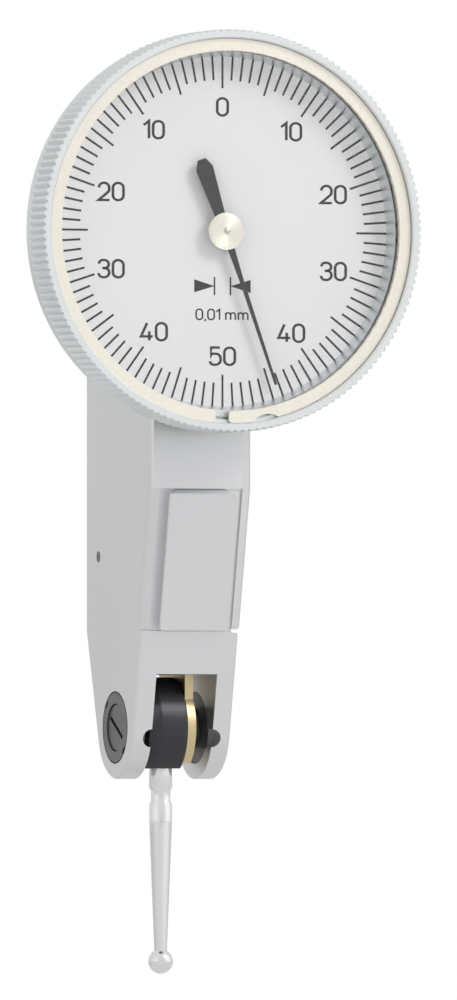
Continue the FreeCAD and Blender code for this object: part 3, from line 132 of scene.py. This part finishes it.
class DialSettings(bpy.types.PropertyGroup):
    divisions: bpy.props.IntProperty(
        name="Divisions", description="Lines round the dial", default=100, min=10)
    line_outer: length_setting("Line end", "Radius where every line ends", 14.03)
    long_line: length_setting("Long line", "Length of every fifth line", 2.6)
    short_line: length_setting("Short line", "Length of the other lines", 1.94)
    line_width: length_setting("Line width", "Width of a line", 0.165)
    figure_ring: length_setting("Figure ring", "Radius of the ring of figures", 9.95)
    figure_height: length_setting("Figure height", "Height of a figure", 1.6)
    figure_stroke: number_setting("Figure stroke", "Stroke width over height", 0.14)
    figure_gap: number_setting("Figure gap", "Gap between figures over height", 0.20)
    ink_height: length_setting("Ink height", "How far the print stands off the dial", 0.012)
    sign_drop: length_setting("Sign drop", "Contact sign below the dial's centre", 4.36)
    sign_side: length_setting("Sign side", "Contact sign's bars beside the centre", 0.68)
    bar_width: length_setting("Bar width", "Width of a contact bar", 0.13)
    bar_height: length_setting("Bar height", "Height of a contact bar", 1.46)
    arrow_length: length_setting("Arrow length", "Length of an arrowhead", 1.72)
    arrow_height: length_setting("Arrow height", "Height of an arrowhead", 1.04)
    unit_drop: length_setting("Unit drop", "Unit below the dial's centre", 6.63)
    unit_scale: number_setting("Unit scale", "Unit's height over a figure's", 0.6)
    unit_gap: number_setting("Unit gap", "Gap between the unit's letters over height", 0.19)


class FinishSettings(bpy.types.PropertyGroup):
    case: colour_setting("Case", "Satin chrome of the case", 0.72, 0.725, 0.735)
    bezel: colour_setting("Bezel", "Satin chrome of the bezel", 0.76, 0.785, 0.79)
    nickel: colour_setting("Nickel", "Ring and pointer hub", 0.90, 0.86, 0.76)
    dial: colour_setting("Dial", "Dial's ground colour", 0.80, 0.80, 0.815)
    ink: colour_setting("Ink", "Lines and figures", 0.010, 0.010, 0.012)
    pointer: colour_setting("Pointer", "Pointer's lacquer", 0.018, 0.018, 0.022)
    spindle: colour_setting("Spindle", "Centre spindle", 0.62, 0.60, 0.56)
    clutch: colour_setting("Clutch", "Hub, washer and nut", 0.045, 0.045, 0.05)
    pivots: colour_setting("Pivots", "Bushes, slotted screws and stop pin", 0.17, 0.17, 0.175)
    stylus: colour_setting("Stylus", "Stylus and its ball", 0.80, 0.80, 0.80)
    brass: colour_setting("Brass", "Lever and train", 0.86, 0.70, 0.42)
    steel: colour_setting("Steel", "Arbors and pins inside", 0.58, 0.58, 0.60)
    screws: colour_setting("Screws", "Screws of the case", 0.50, 0.50, 0.51)
    wire: colour_setting("Wire", "Bezel's snap wire", 0.45, 0.47, 0.52)
    hairspring: colour_setting("Hairspring", "Blued hairspring", 0.30, 0.36, 0.52)


class StageSettings(bpy.types.PropertyGroup):
    azimuth: angle_setting("Azimuth", "Turn of the camera from the front", -20.5)
    elevation: angle_setting("Elevation", "Camera above the level", -1.1)
    frame_height: length_setting("Frame height", "Height of the view at the dial", 79.6)
    lens: number_setting("Lens", "Focal length in millimetres", 600.0)
    aim_drop: length_setting("Aim drop", "View's centre below the dial's", 21.47)
    aim_side: length_setting("Aim side", "View's centre beside the dial's", -0.426)
    floor_drop: length_setting("Floor drop", "Floor below the ball", 12)
    floor_radius: length_setting("Floor radius", "Radius of the floor", 900)


# ---------------------------------------------------------------- shader expressions

class Shade:
    """A value in a node tree: sums, products and powers of these add their Math nodes."""

    def __init__(self, tree, socket):
        self.tree = tree
        self.socket = socket

    def math(self, operation, *others):
        node = self.tree.add("ShaderNodeMath", operation=operation)
        for slot, value in zip(node.inputs, (self,) + others):
            self.tree.feed(slot, value)
        return Shade(self.tree, node.outputs[0])

    def __add__(self, other):
        return self.math("ADD", other)

    def __mul__(self, other):
        return self.math("MULTIPLY", other)

    def __rsub__(self, other):
        return self.math("MULTIPLY_ADD", -1.0, other)

    def __pow__(self, other):
        return self.math("POWER", other)

    def between(self, low, high):
        """Spreads a value from 0 to 1 over a range."""
        return self * (high - low) + low


class Tree:
    """A material's or the surroundings' nodes, with short ways to add and join them."""

    def __init__(self, node_tree):
        self.nodes = node_tree.nodes
        self.links = node_tree.links

    def add(self, kind, **settings):
        node = self.nodes.new(kind)
        for name, value in settings.items():
            setattr(node, name, value)
        return node

    def feed(self, slot, value):
        """Links a Shade to a node's input, or sets the input to a plain value."""
        if isinstance(value, Shade):
            self.links.new(value.socket, slot)
        else:
            slot.default_value = value

    def fill(self, node, inputs):
        """Feeds a node's inputs, named with underscores for spaces."""
        for name, value in inputs.items():
            self.feed(node.inputs[name.replace("_", " ")], value)

    def node(self, kind, output=0, **inputs):
        node = self.add(kind)
        self.fill(node, inputs)
        return Shade(self, node.outputs[output])

    def ray(self, *kinds):
        """Whether a ray is of each kind, from 0 to 1."""
        path = self.add("ShaderNodeLightPath")
        return [Shade(self, path.outputs["Is " + kind + " Ray"]) for kind in kinds]


class Finish(Tree):
    """One material: its Principled shader and the nodes that feed it."""

    def __init__(self, name):
        self.material = bpy.data.materials.new(name)
        self.material.use_nodes = True
        super().__init__(self.material.node_tree)
        self.shader = self.nodes["Principled BSDF"]

    def surface(self, **inputs):
        self.fill(self.shader, inputs)

    def place(self, centre=(0, 0, 0)):
        """Object coordinates, measured from a centre."""
        here = self.node("ShaderNodeTexCoord", output="Object")
        shift = tuple(-c for c in centre)
        return self.node("ShaderNodeMapping", Vector=here, Location=shift)

    def noise(self, size, detail=2.0, stretch=None):
        """Noise from 0 to 1 with grains of about the given size."""
        where = self.place()
        if stretch:
            where = self.node("ShaderNodeMapping", Vector=where, Scale=stretch)
        return self.node("ShaderNodeTexNoise", Vector=where, Scale=1 / size, Detail=detail)

    def radius(self, centre, axis):
        """Distance from a line along an axis through a centre."""
        parts = self.add("ShaderNodeSeparateXYZ")
        self.feed(parts.inputs[0], self.place(centre))
        across = [Shade(self, parts.outputs[i]) for i in range(3) if i != axis]
        return (across[0] * across[0] + across[1] * across[1]).math("SQRT")

    def bump(self, height, strength, distance):
        return self.node("ShaderNodeBump", Height=height, Strength=strength, Distance=distance)

    def tint(self, amount, colour, darkest, lightest):
        """A colour that goes from a darker to a lighter shade with an amount from 0 to 1."""
        mixed = self.add("ShaderNodeMix", data_type="RGBA")
        self.feed(mixed.inputs[0], amount)
        mixed.inputs[6].default_value = (*shaded(colour, darkest), 1)
        mixed.inputs[7].default_value = (*shaded(colour, lightest), 1)
        return Shade(self, mixed.outputs[2])


def shaded(colour, factor):
    return tuple(min(1.0, c * factor) for c in colour)


def satin_metal(name, colour, grain, roughness, bump=0.25):
    """Bead-blasted and chromed metal: a fine even grain with faint clouds."""
    finish = Finish(name)
    fine = finish.noise(grain)
    clouds = finish.noise(CLOUD_SIZE)
    finish.surface(
        Base_Color=finish.tint(clouds, colour, darkest=0.97, lightest=1.03),
        Metallic=1.0,
        Roughness=fine.between(roughness - 0.05, roughness + 0.05),
        Normal=finish.bump(fine, bump, grain * GRAIN_DEPTH),
    )
    return finish.material


def turned_metal(name, colour, centre, axis, pitch, roughness, bump=0.3, metallic=1.0):
    """Metal with the fine rings that a lathe tool leaves."""
    finish = Finish(name)
    radius = finish.radius(centre, axis)
    rings = (radius * (2 * math.pi / pitch)).math("SINE")
    uneven = finish.noise(pitch * 3)
    finish.surface(
        Base_Color=finish.tint(uneven, colour, darkest=0.94, lightest=1.04),
        Metallic=metallic,
        Roughness=uneven.between(roughness - 0.06, roughness + 0.06),
        Normal=finish.bump(rings * 0.5 + uneven * 0.6, bump, pitch * RING_DEPTH),
    )
    return finish.material


def milled_metal(name, colour, grain, roughness, stretch=TOOL_MARKS, bump=0.3):
    """Metal with straight tool marks."""
    finish = Finish(name)
    marks = finish.noise(grain, detail=3.0, stretch=stretch)
    finish.surface(
        Base_Color=finish.tint(marks, colour, darkest=0.92, lightest=1.05),
        Metallic=1.0,
        Roughness=marks.between(roughness - 0.08, roughness + 0.08),
        Normal=finish.bump(marks, bump, grain * GRAIN_DEPTH),
    )
    return finish.material


def polished_metal(name, colour, roughness):
    """Ground and polished metal with hairline scratches that only just show."""
    finish = Finish(name)
    hairlines = finish.noise(0.25 * MM, detail=3.0, stretch=(1, 1, 6))
    finish.surface(
        Base_Color=(*colour, 1),
        Metallic=1.0,
        Roughness=hairlines.between(roughness, roughness + 0.05),
        Normal=finish.bump(hairlines, 0.06, FINE_RELIEF),
    )
    return finish.material


def printed_ground(name, colour):
    """Fine matte paint on the dial."""
    finish = Finish(name)
    fine = finish.noise(0.09 * MM)
    broad = finish.noise(14 * MM, detail=1.0)
    finish.surface(
        Base_Color=finish.tint(broad, colour, darkest=0.985, lightest=1.015),
        Roughness=fine.between(0.42, 0.54),
        Specular_IOR_Level=0.35,
        Normal=finish.bump(fine, 0.08, FINE_RELIEF),
    )
    return finish.material


def matte_ink(name, colour):
    """Printing ink or lacquer with a soft sheen."""
    finish = Finish(name)
    fine = finish.noise(0.08 * MM)
    finish.surface(
        Base_Color=finish.tint(fine, colour, darkest=0.85, lightest=1.2),
        Roughness=fine.between(0.45, 0.60),
        Specular_IOR_Level=0.3,
        Normal=finish.bump(fine, 0.1, FINE_RELIEF),
    )
    return finish.material


def clear_window(name):
    """Clear crystal: nearly all see-through, with a faint gloss."""
    finish = Finish(name)
    wipe = finish.noise(7 * MM)
    finish.surface(
        Base_Color=(1, 1, 1, 1),
        Roughness=wipe.between(0.02, 0.05),
        Alpha=0.03,
        IOR=1.49,
    )
    finish.material.surface_render_method = "BLENDED"
    return finish.material


# ---------------------------------------------------------------- tools for the pieces

def select_only(*objects):
    bpy.ops.object.select_all(action="DESELECT")
    for item in objects:
        item.select_set(True)
    bpy.context.view_layer.objects.active = objects[0]


def smooth_node(node):
    """Merges a metal piece's triangles as it is shown, and keeps its edges crisp."""
    for polygon in node.data.polygons:
        polygon.use_smooth = True
    weld = node.modifiers.new("merge", "WELD")
    weld.merge_threshold = MERGE_DISTANCE
    split = node.modifiers.new("crisp", "EDGE_SPLIT")
    split.split_angle = CRISP_ANGLE


def dress(material, *names):
    """Gives CAD pieces their finish."""
    for name in names:
        node = nodes[name]
        node.data.materials.clear()
        node.data.materials.append(material)
        smooth_node(node)


def finish_piece(piece, name, body, material):
    piece.name = name
    piece.data.name = name
    piece.data.materials.clear()
    piece.data.materials.append(material)
    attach(piece, body)


# Width and strokes of each character, on a field one unit high. A stroke is a list of points;
# a point written (x, y, radius) is a corner rounded to that radius.
FIGURES = {
    "0": (0.56, [[(0.28, 1.0), (0.0, 1.0, 0.28), (0.0, 0.0, 0.28), (0.56, 0.0, 0.28),
                  (0.56, 1.0, 0.28), (0.28, 1.0)]]),
    "1": (0.30, [[(0.0, 0.76), (0.28, 1.0), (0.28, 0.0)]]),
    "2": (0.56, [[(0.02, 0.72), (0.02, 1.0, 0.27), (0.56, 1.0, 0.27), (0.56, 0.52, 0.20),
                  (0.0, 0.0), (0.58, 0.0)]]),
    "3": (0.56, [[(0.02, 0.78), (0.02, 1.0, 0.24), (0.54, 1.0, 0.25), (0.54, 0.53, 0.22),
                  (0.2, 0.53)],
                 [(0.24, 0.53), (0.56, 0.53, 0.24), (0.56, 0.0, 0.27), (0.0, 0.0, 0.26),
                  (0.0, 0.24)]]),
    "4": (0.62, [[(0.34, 1.0), (0.02, 0.22), (0.64, 0.22)], [(0.46, 0.52), (0.46, 0.0)]]),
    "5": (0.56, [[(0.52, 1.0), (0.06, 1.0), (0.04, 0.50), (0.08, 0.64, 0.03),
                  (0.56, 0.64, 0.26), (0.56, 0.0, 0.28), (0.0, 0.0, 0.26), (0.0, 0.20)]]),
    ",": (0.10, [[(0.08, 0.06), (0.02, -0.16)]]),
    "m": (0.92, [[(0.0, 0.0), (0.0, 0.70)],
                 [(0.0, 0.40), (0.0, 0.68, 0.21), (0.42, 0.68, 0.21), (0.42, 0.0)],
                 [(0.42, 0.40), (0.42, 0.68, 0.21), (0.84, 0.68, 0.21), (0.84, 0.0)]]),
    " ": (0.16, []),
}


def rounded_run(points):
    """A stroke's points with its rounded corners turned into short arcs."""
    run = []
    for i, point in enumerate(points):
        here = Vector(point[:2])
        if len(point) == 2:
            run.append(here)
            continue
        back = Vector(points[i - 1][:2]) - here
        ahead = Vector(points[i + 1][:2]) - here
        half_turn = math.tan(back.angle(ahead) / 2)
        reach = min(point[2] / half_turn, back.length, ahead.length)
        radius = reach * half_turn
        start = here + back.normalized() * reach
        end = here + ahead.normalized() * reach
        inwards = (back.normalized() + ahead.normalized()).normalized()
        centre = here + inwards * radius / math.sin(back.angle(ahead) / 2)
        sweep = (start - centre).angle_signed(end - centre)
        for k in range(CORNER_STEPS + 1):
            spun = Matrix.Rotation(-sweep * k / CORNER_STEPS, 2) @ (start - centre)
            run.append(centre + spun)
    return run


def stroke(mesh, run, width, to_dial):
    """A ribbon of even width along a run of points, with square ends and mitred corners."""
    clean = [run[0]]
    for point in run[1:]:
        if (point - clean[-1]).length > SAME_POINT:
            clean.append(point)
    closed = (clean[0] - clean[-1]).length < CLOSED_GAP
    if closed:
        clean.pop()
    count = len(clean)
    corners = []
    for i, point in enumerate(clean):
        came = goes = None
        if closed or i > 0:
            came = (point - clean[i - 1]).normalized()
        if closed or i < count - 1:
            goes = (clean[(i + 1) % count] - point).normalized()
        came = came or goes
        goes = goes or came
        mean = (came + goes).normalized()
        across = Vector((-mean.y, mean.x))
        spread = width / 2 / max(SHARPEST_MITRE, mean.dot(came))
        corners.append([mesh.verts.new(to_dial(point + across * side * spread))
                        for side in (1, -1)])
    for i in range(count if closed else count - 1):
        a, b = corners[i]
        c, d = corners[(i + 1) % count]
        mesh.faces.new((a, b, d, c))


def write_word(mesh, word, x, z, height, width, gap):
    """Writes a word centred on (x, z) of the dial, in strokes."""
    cursor = -(sum(FIGURES[letter][0] + gap for letter in word) - gap) / 2
    for letter in word:
        advance, runs = FIGURES[letter]
        for run in runs:
            def to_dial(point, shift=cursor):
                along = (point.x + shift) * height
                up = (point.y - 0.5) * (height - width * height)
                return Vector((x + along, 0.0, z + up))
            stroke(mesh, rounded_run(run), width, to_dial)
        cursor += advance + gap


def ink_from_strokes(context, mesh, name):
    """Turns flat strokes in the dial's plane into a thin layer of ink."""
    bmesh.ops.recalc_face_normals(mesh, faces=mesh.faces)
    for face in mesh.faces:
        if face.normal.y > 0:
            face.normal_flip()
    bmesh.ops.translate(mesh, vec=DIAL_CENTRE, verts=mesh.verts)
    data = bpy.data.meshes.new(name)
    mesh.to_mesh(data)
    mesh.free()
    piece = bpy.data.objects.new(name, data)
    context.scene.collection.objects.link(piece)
    select_only(piece)
    layer = piece.modifiers.new("ink", "SOLIDIFY")
    layer.thickness = context.scene.dial_settings.ink_height
    layer.offset = 1.0
    bpy.ops.object.modifier_apply(modifier=layer.name)
    return piece


def raise_ink(context):
    """Extrudes the flat shape in hand off the dial, and leaves edit mode."""
    height = context.scene.dial_settings.ink_height
    bpy.ops.mesh.extrude_region_move(TRANSFORM_OT_translate={"value": (0, -height, 0)})
    bpy.ops.mesh.select_all(action="SELECT")
    bpy.ops.mesh.normals_make_consistent(inside=False)
    bpy.ops.object.mode_set(mode="OBJECT")
    bpy.ops.object.transform_apply(location=True, rotation=True, scale=True)
    return context.active_object


def ink_bar(context, x, z, width, height):
    """A printed bar, centred on a place of the dial."""
    bpy.ops.object.select_all(action="DESELECT")
    bpy.ops.mesh.primitive_plane_add(
        size=1, rotation=(math.pi / 2, 0, 0), location=(DIAL_X + x, DIAL_FACE, DIAL_Z + z))
    bpy.ops.object.mode_set(mode="EDIT")
    bpy.ops.transform.resize(value=(width, 1, height))
    return raise_ink(context)


def ink_arrow(context, x, z, length, height):
    """A printed arrowhead with its tip at a place of the dial; it points left when its length
    is positive, and right when it is negative."""
    bpy.ops.object.select_all(action="DESELECT")
    bpy.ops.mesh.primitive_circle_add(
        vertices=3, radius=1, fill_type="NGON", rotation=(math.pi / 2, 0, 0),
        location=(DIAL_X + x, DIAL_FACE, DIAL_Z + z))
    tip, upper, lower = context.active_object.data.vertices
    tip.co = (0, 0, 0)
    upper.co = (length, height / 2, 0)
    lower.co = (length, -height / 2, 0)
    bpy.ops.object.mode_set(mode="EDIT")
    return raise_ink(context)


def turn_on_dial(piece, angle):
    select_only(piece)
    bpy.ops.transform.rotate(value=angle, orient_axis="Y", center_override=DIAL_CENTRE)
    bpy.ops.object.transform_apply(location=True, rotation=True, scale=True)


def copy_turned(piece, angle):
    select_only(piece)
    bpy.ops.object.duplicate()
    copy = bpy.context.active_object
    turn_on_dial(copy, angle)
    return copy


def join(pieces):
    select_only(*pieces)
    bpy.ops.object.join()
    return pieces[0]


def finish_print(context, piece, name):
    ink = bpy.data.materials.get("dial_ink")
    if ink is None:
        ink = matte_ink("dial_ink", context.scene.finish_settings.ink)
    finish_piece(piece, name, "bezel_group", ink)


# ---------------------------------------------------------------- operators

class DialLines(bpy.types.Operator):
    """Prints the ring of lines"""
    bl_idname = "indicator.dial_lines"
    bl_label = "Dial lines"

    def execute(self, context):
        settings = context.scene.dial_settings
        step = 2 * math.pi / settings.divisions
        lines = []
        for i in range(LONG_EVERY):
            length = settings.short_line if i else settings.long_line
            middle = settings.line_outer - length / 2
            line = ink_bar(context, 0.0, middle, settings.line_width, length)
            turn_on_dial(line, step * i)
            lines.append(line)
        group = join(lines)
        groups = [group]
        for i in range(1, settings.divisions // LONG_EVERY):
            groups.append(copy_turned(group, step * LONG_EVERY * i))
        finish_print(context, join(groups), "dial_lines")
        return {"FINISHED"}


class DialFigures(bpy.types.Operator):
    """Prints the figures, which rise to the dial's foot on both sides"""
    bl_idname = "indicator.dial_figures"
    bl_label = "Dial figures"

    def execute(self, context):
        settings = context.scene.dial_settings
        mesh = bmesh.new()
        for division in range(0, settings.divisions, FIGURE_EVERY):
            value = min(division, settings.divisions - division)
            angle = 2 * math.pi * division / settings.divisions
            write_word(
                mesh, str(value), settings.figure_ring * math.sin(angle),
                settings.figure_ring * math.cos(angle), settings.figure_height,
                settings.figure_stroke, settings.figure_gap)
        finish_print(context, ink_from_strokes(context, mesh, "figures"), "dial_figures")
        return {"FINISHED"}


class DialSigns(bpy.types.Operator):
    """Prints the contact sign and the unit of a division"""
    bl_idname = "indicator.dial_signs"
    bl_label = "Dial signs"

    def execute(self, context):
        settings = context.scene.dial_settings
        marks = []
        for side in (-1, 1):
            place = (settings.sign_side * side, -settings.sign_drop)
            marks.append(ink_bar(context, *place, settings.bar_width, settings.bar_height))
            marks.append(ink_arrow(
                context, *place, settings.arrow_length * side, settings.arrow_height))
        word = bmesh.new()
        write_word(
            word, "0,01 mm", 0.0, -settings.unit_drop, settings.figure_height * settings.unit_scale,
            settings.figure_stroke, settings.unit_gap)
        marks.append(ink_from_strokes(context, word, "unit"))
        finish_print(context, join(marks), "dial_signs")
        return {"FINISHED"}


class CaseFinish(bpy.types.Operator):
    """Satin chrome on the case and its cover, turned chrome on the dial case, steel screws"""
    bl_idname = "indicator.case_finish"
    bl_label = "Case finish"

    def execute(self, context):
        colours = context.scene.finish_settings
        satin = satin_metal("satin_chrome", colours.case, grain=0.09 * MM, roughness=0.40)
        dress(satin, "housing", "side_cover")
        drum = turned_metal(
            "drum_chrome", shaded(colours.case, DRUM_SHADE), TURNING_AXIS, Y_AXIS,
            pitch=0.12 * MM, roughness=0.36)
        dress(drum, "dial_case")
        screws = milled_metal(
            "screw_steel", colours.screws, grain=0.05 * MM, roughness=0.32, stretch=EVEN_GRAIN)
        dress(screws, "cover_screws", "case_screws", "bridge_screw")
        return {"FINISHED"}


class BezelFinish(bpy.types.Operator):
    """Satin chrome on the knurled bezel, nickel on its ring, clear crystal, painted dial"""
    bl_idname = "indicator.bezel_finish"
    bl_label = "Bezel finish"

    def execute(self, context):
        colours = context.scene.finish_settings
        satin = satin_metal("bezel_chrome", colours.bezel, grain=0.06 * MM, roughness=0.36)
        dress(satin, "bezel")
        nickel = turned_metal(
            "ring_nickel", colours.nickel, TURNING_AXIS, Y_AXIS, pitch=0.10 * MM,
            roughness=0.34, bump=0.15)
        dress(nickel, "retaining_ring")
        dress(clear_window("crystal_clear"), "crystal")
        wire = milled_metal("spring_wire", colours.wire, grain=0.05 * MM, roughness=0.3)
        dress(wire, "bezel_snap_wire")
        dress(printed_ground("dial_paint", colours.dial), "dial_plate")
        return {"FINISHED"}


class PointerFinish(bpy.types.Operator):
    """Dark pointer, turned hub and spindle"""
    bl_idname = "indicator.pointer_finish"
    bl_label = "Pointer finish"

    def execute(self, context):
        colours = context.scene.finish_settings
        dress(matte_ink("pointer_lacquer", colours.pointer), "pointer")
        nickel = turned_metal(
            "hub_nickel", colours.nickel, TURNING_AXIS, Y_AXIS, pitch=0.16 * MM,
            roughness=0.26, bump=0.35)
        dress(nickel, "pointer_hub")
        dress(polished_metal("spindle_steel", colours.spindle, roughness=0.18), "centre_spindle")
        return {"FINISHED"}


class ClutchFinish(bpy.types.Operator):
    """Oxide black on the clutch, brass on the lever, oxide grey on the pivots"""
    bl_idname = "indicator.clutch_finish"
    bl_label = "Clutch finish"

    def execute(self, context):
        colours = context.scene.finish_settings
        black = turned_metal(
            "oxide_black", colours.clutch, PIVOT, X_AXIS, pitch=0.14 * MM, roughness=0.34,
            bump=0.25, metallic=0.6)
        dress(black, "clutch_hub", "clutch_washer", "clutch_nut")
        brass = milled_metal(
            "lever_brass", shaded(colours.brass, LEVER_SHADE), grain=0.10 * MM, roughness=0.38)
        dress(brass, "measuring_lever")
        grey = turned_metal(
            "oxide_grey", colours.pivots, PIVOT, X_AXIS, pitch=0.12 * MM, roughness=0.40,
            metallic=0.85)
        dress(grey, "left_pivot_bush", "left_pivot_screw", "right_pivot_bush",
              "right_pivot_screw", "travel_stop_pin")
        return {"FINISHED"}


class StylusFinish(bpy.types.Operator):
    """Polished chrome on the stylus and its ball"""
    bl_idname = "indicator.stylus_finish"
    bl_label = "Stylus finish"

    def execute(self, context):
        colours = context.scene.finish_settings
        chrome = polished_metal("bright_chrome", colours.stylus, roughness=0.10)
        dress(chrome, "stylus", "contact_ball")
        return {"FINISHED"}


class MovementFinish(bpy.types.Operator):
    """Brass and steel on the movement inside the case"""
    bl_idname = "indicator.movement_finish"
    bl_label = "Movement finish"

    def execute(self, context):
        colours = context.scene.finish_settings
        brass = milled_metal("movement_brass", colours.brass, grain=0.08 * MM, roughness=0.30)
        dress(brass, "crown_wheel", "sector_lever", "spindle_bridge", "front_bush",
              "hairspring_collet", "hairspring_stud", "sector_left_bearing",
              "sector_right_bearing", "crown_left_bearing", "crown_right_bearing")
        steel = polished_metal("movement_steel", colours.steel, roughness=0.16)
        dress(steel, "crown_arbor", "sector_axle", "lever_axle", "lever_pin")
        blue = polished_metal("hairspring_blue", colours.hairspring, roughness=0.2)
        dress(blue, "hairspring")
        return {"FINISHED"}


def direction(azimuth, elevation):
    """The way towards an azimuth, measured from the front, and an elevation."""
    level = math.cos(elevation)
    return Vector((math.sin(azimuth) * level, -math.cos(azimuth) * level, math.sin(elevation)))


def point_at(item, way):
    """Turns a lamp or a camera to look along a way."""
    item.rotation_mode = "QUATERNION"
    item.rotation_quaternion = way.to_track_quat("-Z", "Y")


def lamp(context, name, target, offset, size, power, mirrored):
    """A round lamp that shines on a target; metal shows it only if it is mirrored."""
    data = bpy.data.lights.new(name, "AREA")
    data.shape = "DISK"
    data.size = size
    data.energy = power
    item = bpy.data.objects.new(name, data)
    item.location = target + Vector(offset)
    point_at(item, -Vector(offset))
    item.visible_glossy = mirrored
    context.scene.collection.objects.link(item)


class Stage(bpy.types.Operator):
    """Pale floor, soft lamps, white surroundings and the camera"""
    bl_idname = "indicator.stage"
    bl_label = "Stage"

    def execute(self, context):
        settings = context.scene.stage_settings
        low, high = cad_box
        centre = (low + high) / 2
        self.floor(low.z - settings.floor_drop, settings.floor_radius)
        self.surroundings(context.scene)
        lamp(context, "key", centre, **KEY_LAMP)
        lamp(context, "fill", centre, **FILL_LAMP)
        self.camera(context.scene, settings)
        context.scene.view_settings.view_transform = "Standard"
        return {"FINISHED"}

    def camera(self, scene, settings):
        data = bpy.data.cameras.new("camera")
        data.lens = settings.lens
        data.clip_start = NEAREST
        data.clip_end = FARTHEST
        camera = bpy.data.objects.new("camera", data)
        scene.collection.objects.link(camera)
        back = direction(settings.azimuth, settings.elevation)
        aim = Vector((DIAL_X + settings.aim_side, BEZEL_FRONT, DIAL_Z - settings.aim_drop))
        distance = settings.frame_height * settings.lens / data.sensor_width
        camera.location = aim + back * distance
        point_at(camera, -back)
        scene.camera = camera

    def floor(self, height, radius):
        bpy.ops.object.select_all(action="DESELECT")
        bpy.ops.mesh.primitive_circle_add(
            vertices=96, radius=radius, fill_type="NGON", location=(0, 0, height))
        floor = bpy.context.object
        floor.name = "floor"
        finish = Finish("pale_floor")
        seen, = finish.ray("Camera")
        fine = finish.noise(3 * MM)
        finish.surface(
            Base_Color=(0.86, 0.86, 0.86, 1),
            Roughness=fine.between(0.6, 0.7),
            Specular_IOR_Level=0.0,
            Emission_Color=(1, 1, 1, 1),
            Emission_Strength=seen * FLOOR_GLOW,
        )
        floor.data.materials.append(finish.material)

    def surroundings(self, scene):
        """White to look at; metal mirrors two soft windows, a ceiling and a dim gap."""
        world = bpy.data.worlds.new("surroundings")
        scene.world = world
        world.use_nodes = True
        room = Tree(world.node_tree)
        seen, mirrored, through = room.ray("Camera", "Glossy", "Transmission")
        towards = room.node("ShaderNodeTexCoord", output="Generated")
        metal = METAL_LIGHT
        for azimuth, elevation, sharpness, strength in (LEFT_WINDOW, RIGHT_WINDOW, CEILING, DIM_GAP):
            parts = room.add("ShaderNodeVectorMath", operation="DOT_PRODUCT")
            room.feed(parts.inputs[0], towards)
            parts.inputs[1].default_value = direction(
                math.radians(azimuth), math.radians(elevation))
            facing = Shade(room, parts.outputs["Value"]).math("MAXIMUM", 0.0)
            metal = facing ** sharpness * strength + metal
        hidden = mirrored * metal + (1 - mirrored) * PLAIN_LIGHT
        white = (seen + through).math("MINIMUM", 1.0)
        room.fill(room.nodes["Background"], {
            "Color": (1, 1, 1, 1),
            "Strength": white + (1 - white) * hidden,
        })


class IndicatorPanel(bpy.types.Panel):
    bl_idname = "VIEW3D_PT_indicator"
    bl_label = "Dial test indicator"
    bl_space_type = "VIEW_3D"
    bl_region_type = "UI"
    bl_category = "Indicator"

    def draw(self, context):
        for step in STEPS:
            self.layout.operator(step.bl_idname)
        for place, group in SETTINGS.items():
            box = self.layout.box()
            for name in group.__annotations__:
                box.prop(getattr(context.scene, place), name)


STEPS = (CaseFinish, BezelFinish, PointerFinish, ClutchFinish, StylusFinish, MovementFinish,
         DialLines, DialFigures, DialSigns, Stage)
SETTINGS = {
    "dial_settings": DialSettings,
    "finish_settings": FinishSettings,
    "stage_settings": StageSettings,
}
CLASSES = (*SETTINGS.values(), *STEPS, IndicatorPanel)


def register():
    for cls in CLASSES:
        bpy.utils.register_class(cls)
    for name, group in SETTINGS.items():
        setattr(bpy.types.Scene, name, bpy.props.PointerProperty(type=group))


def unregister():
    for name in SETTINGS:
        delattr(bpy.types.Scene, name)
    for cls in reversed(CLASSES):
        bpy.utils.unregister_class(cls)


def main():
    register()
    for step in STEPS:
        group, name = step.bl_idname.split(".")
        getattr(getattr(bpy.ops, group), name)()


if __name__ == "__main__":
    main()
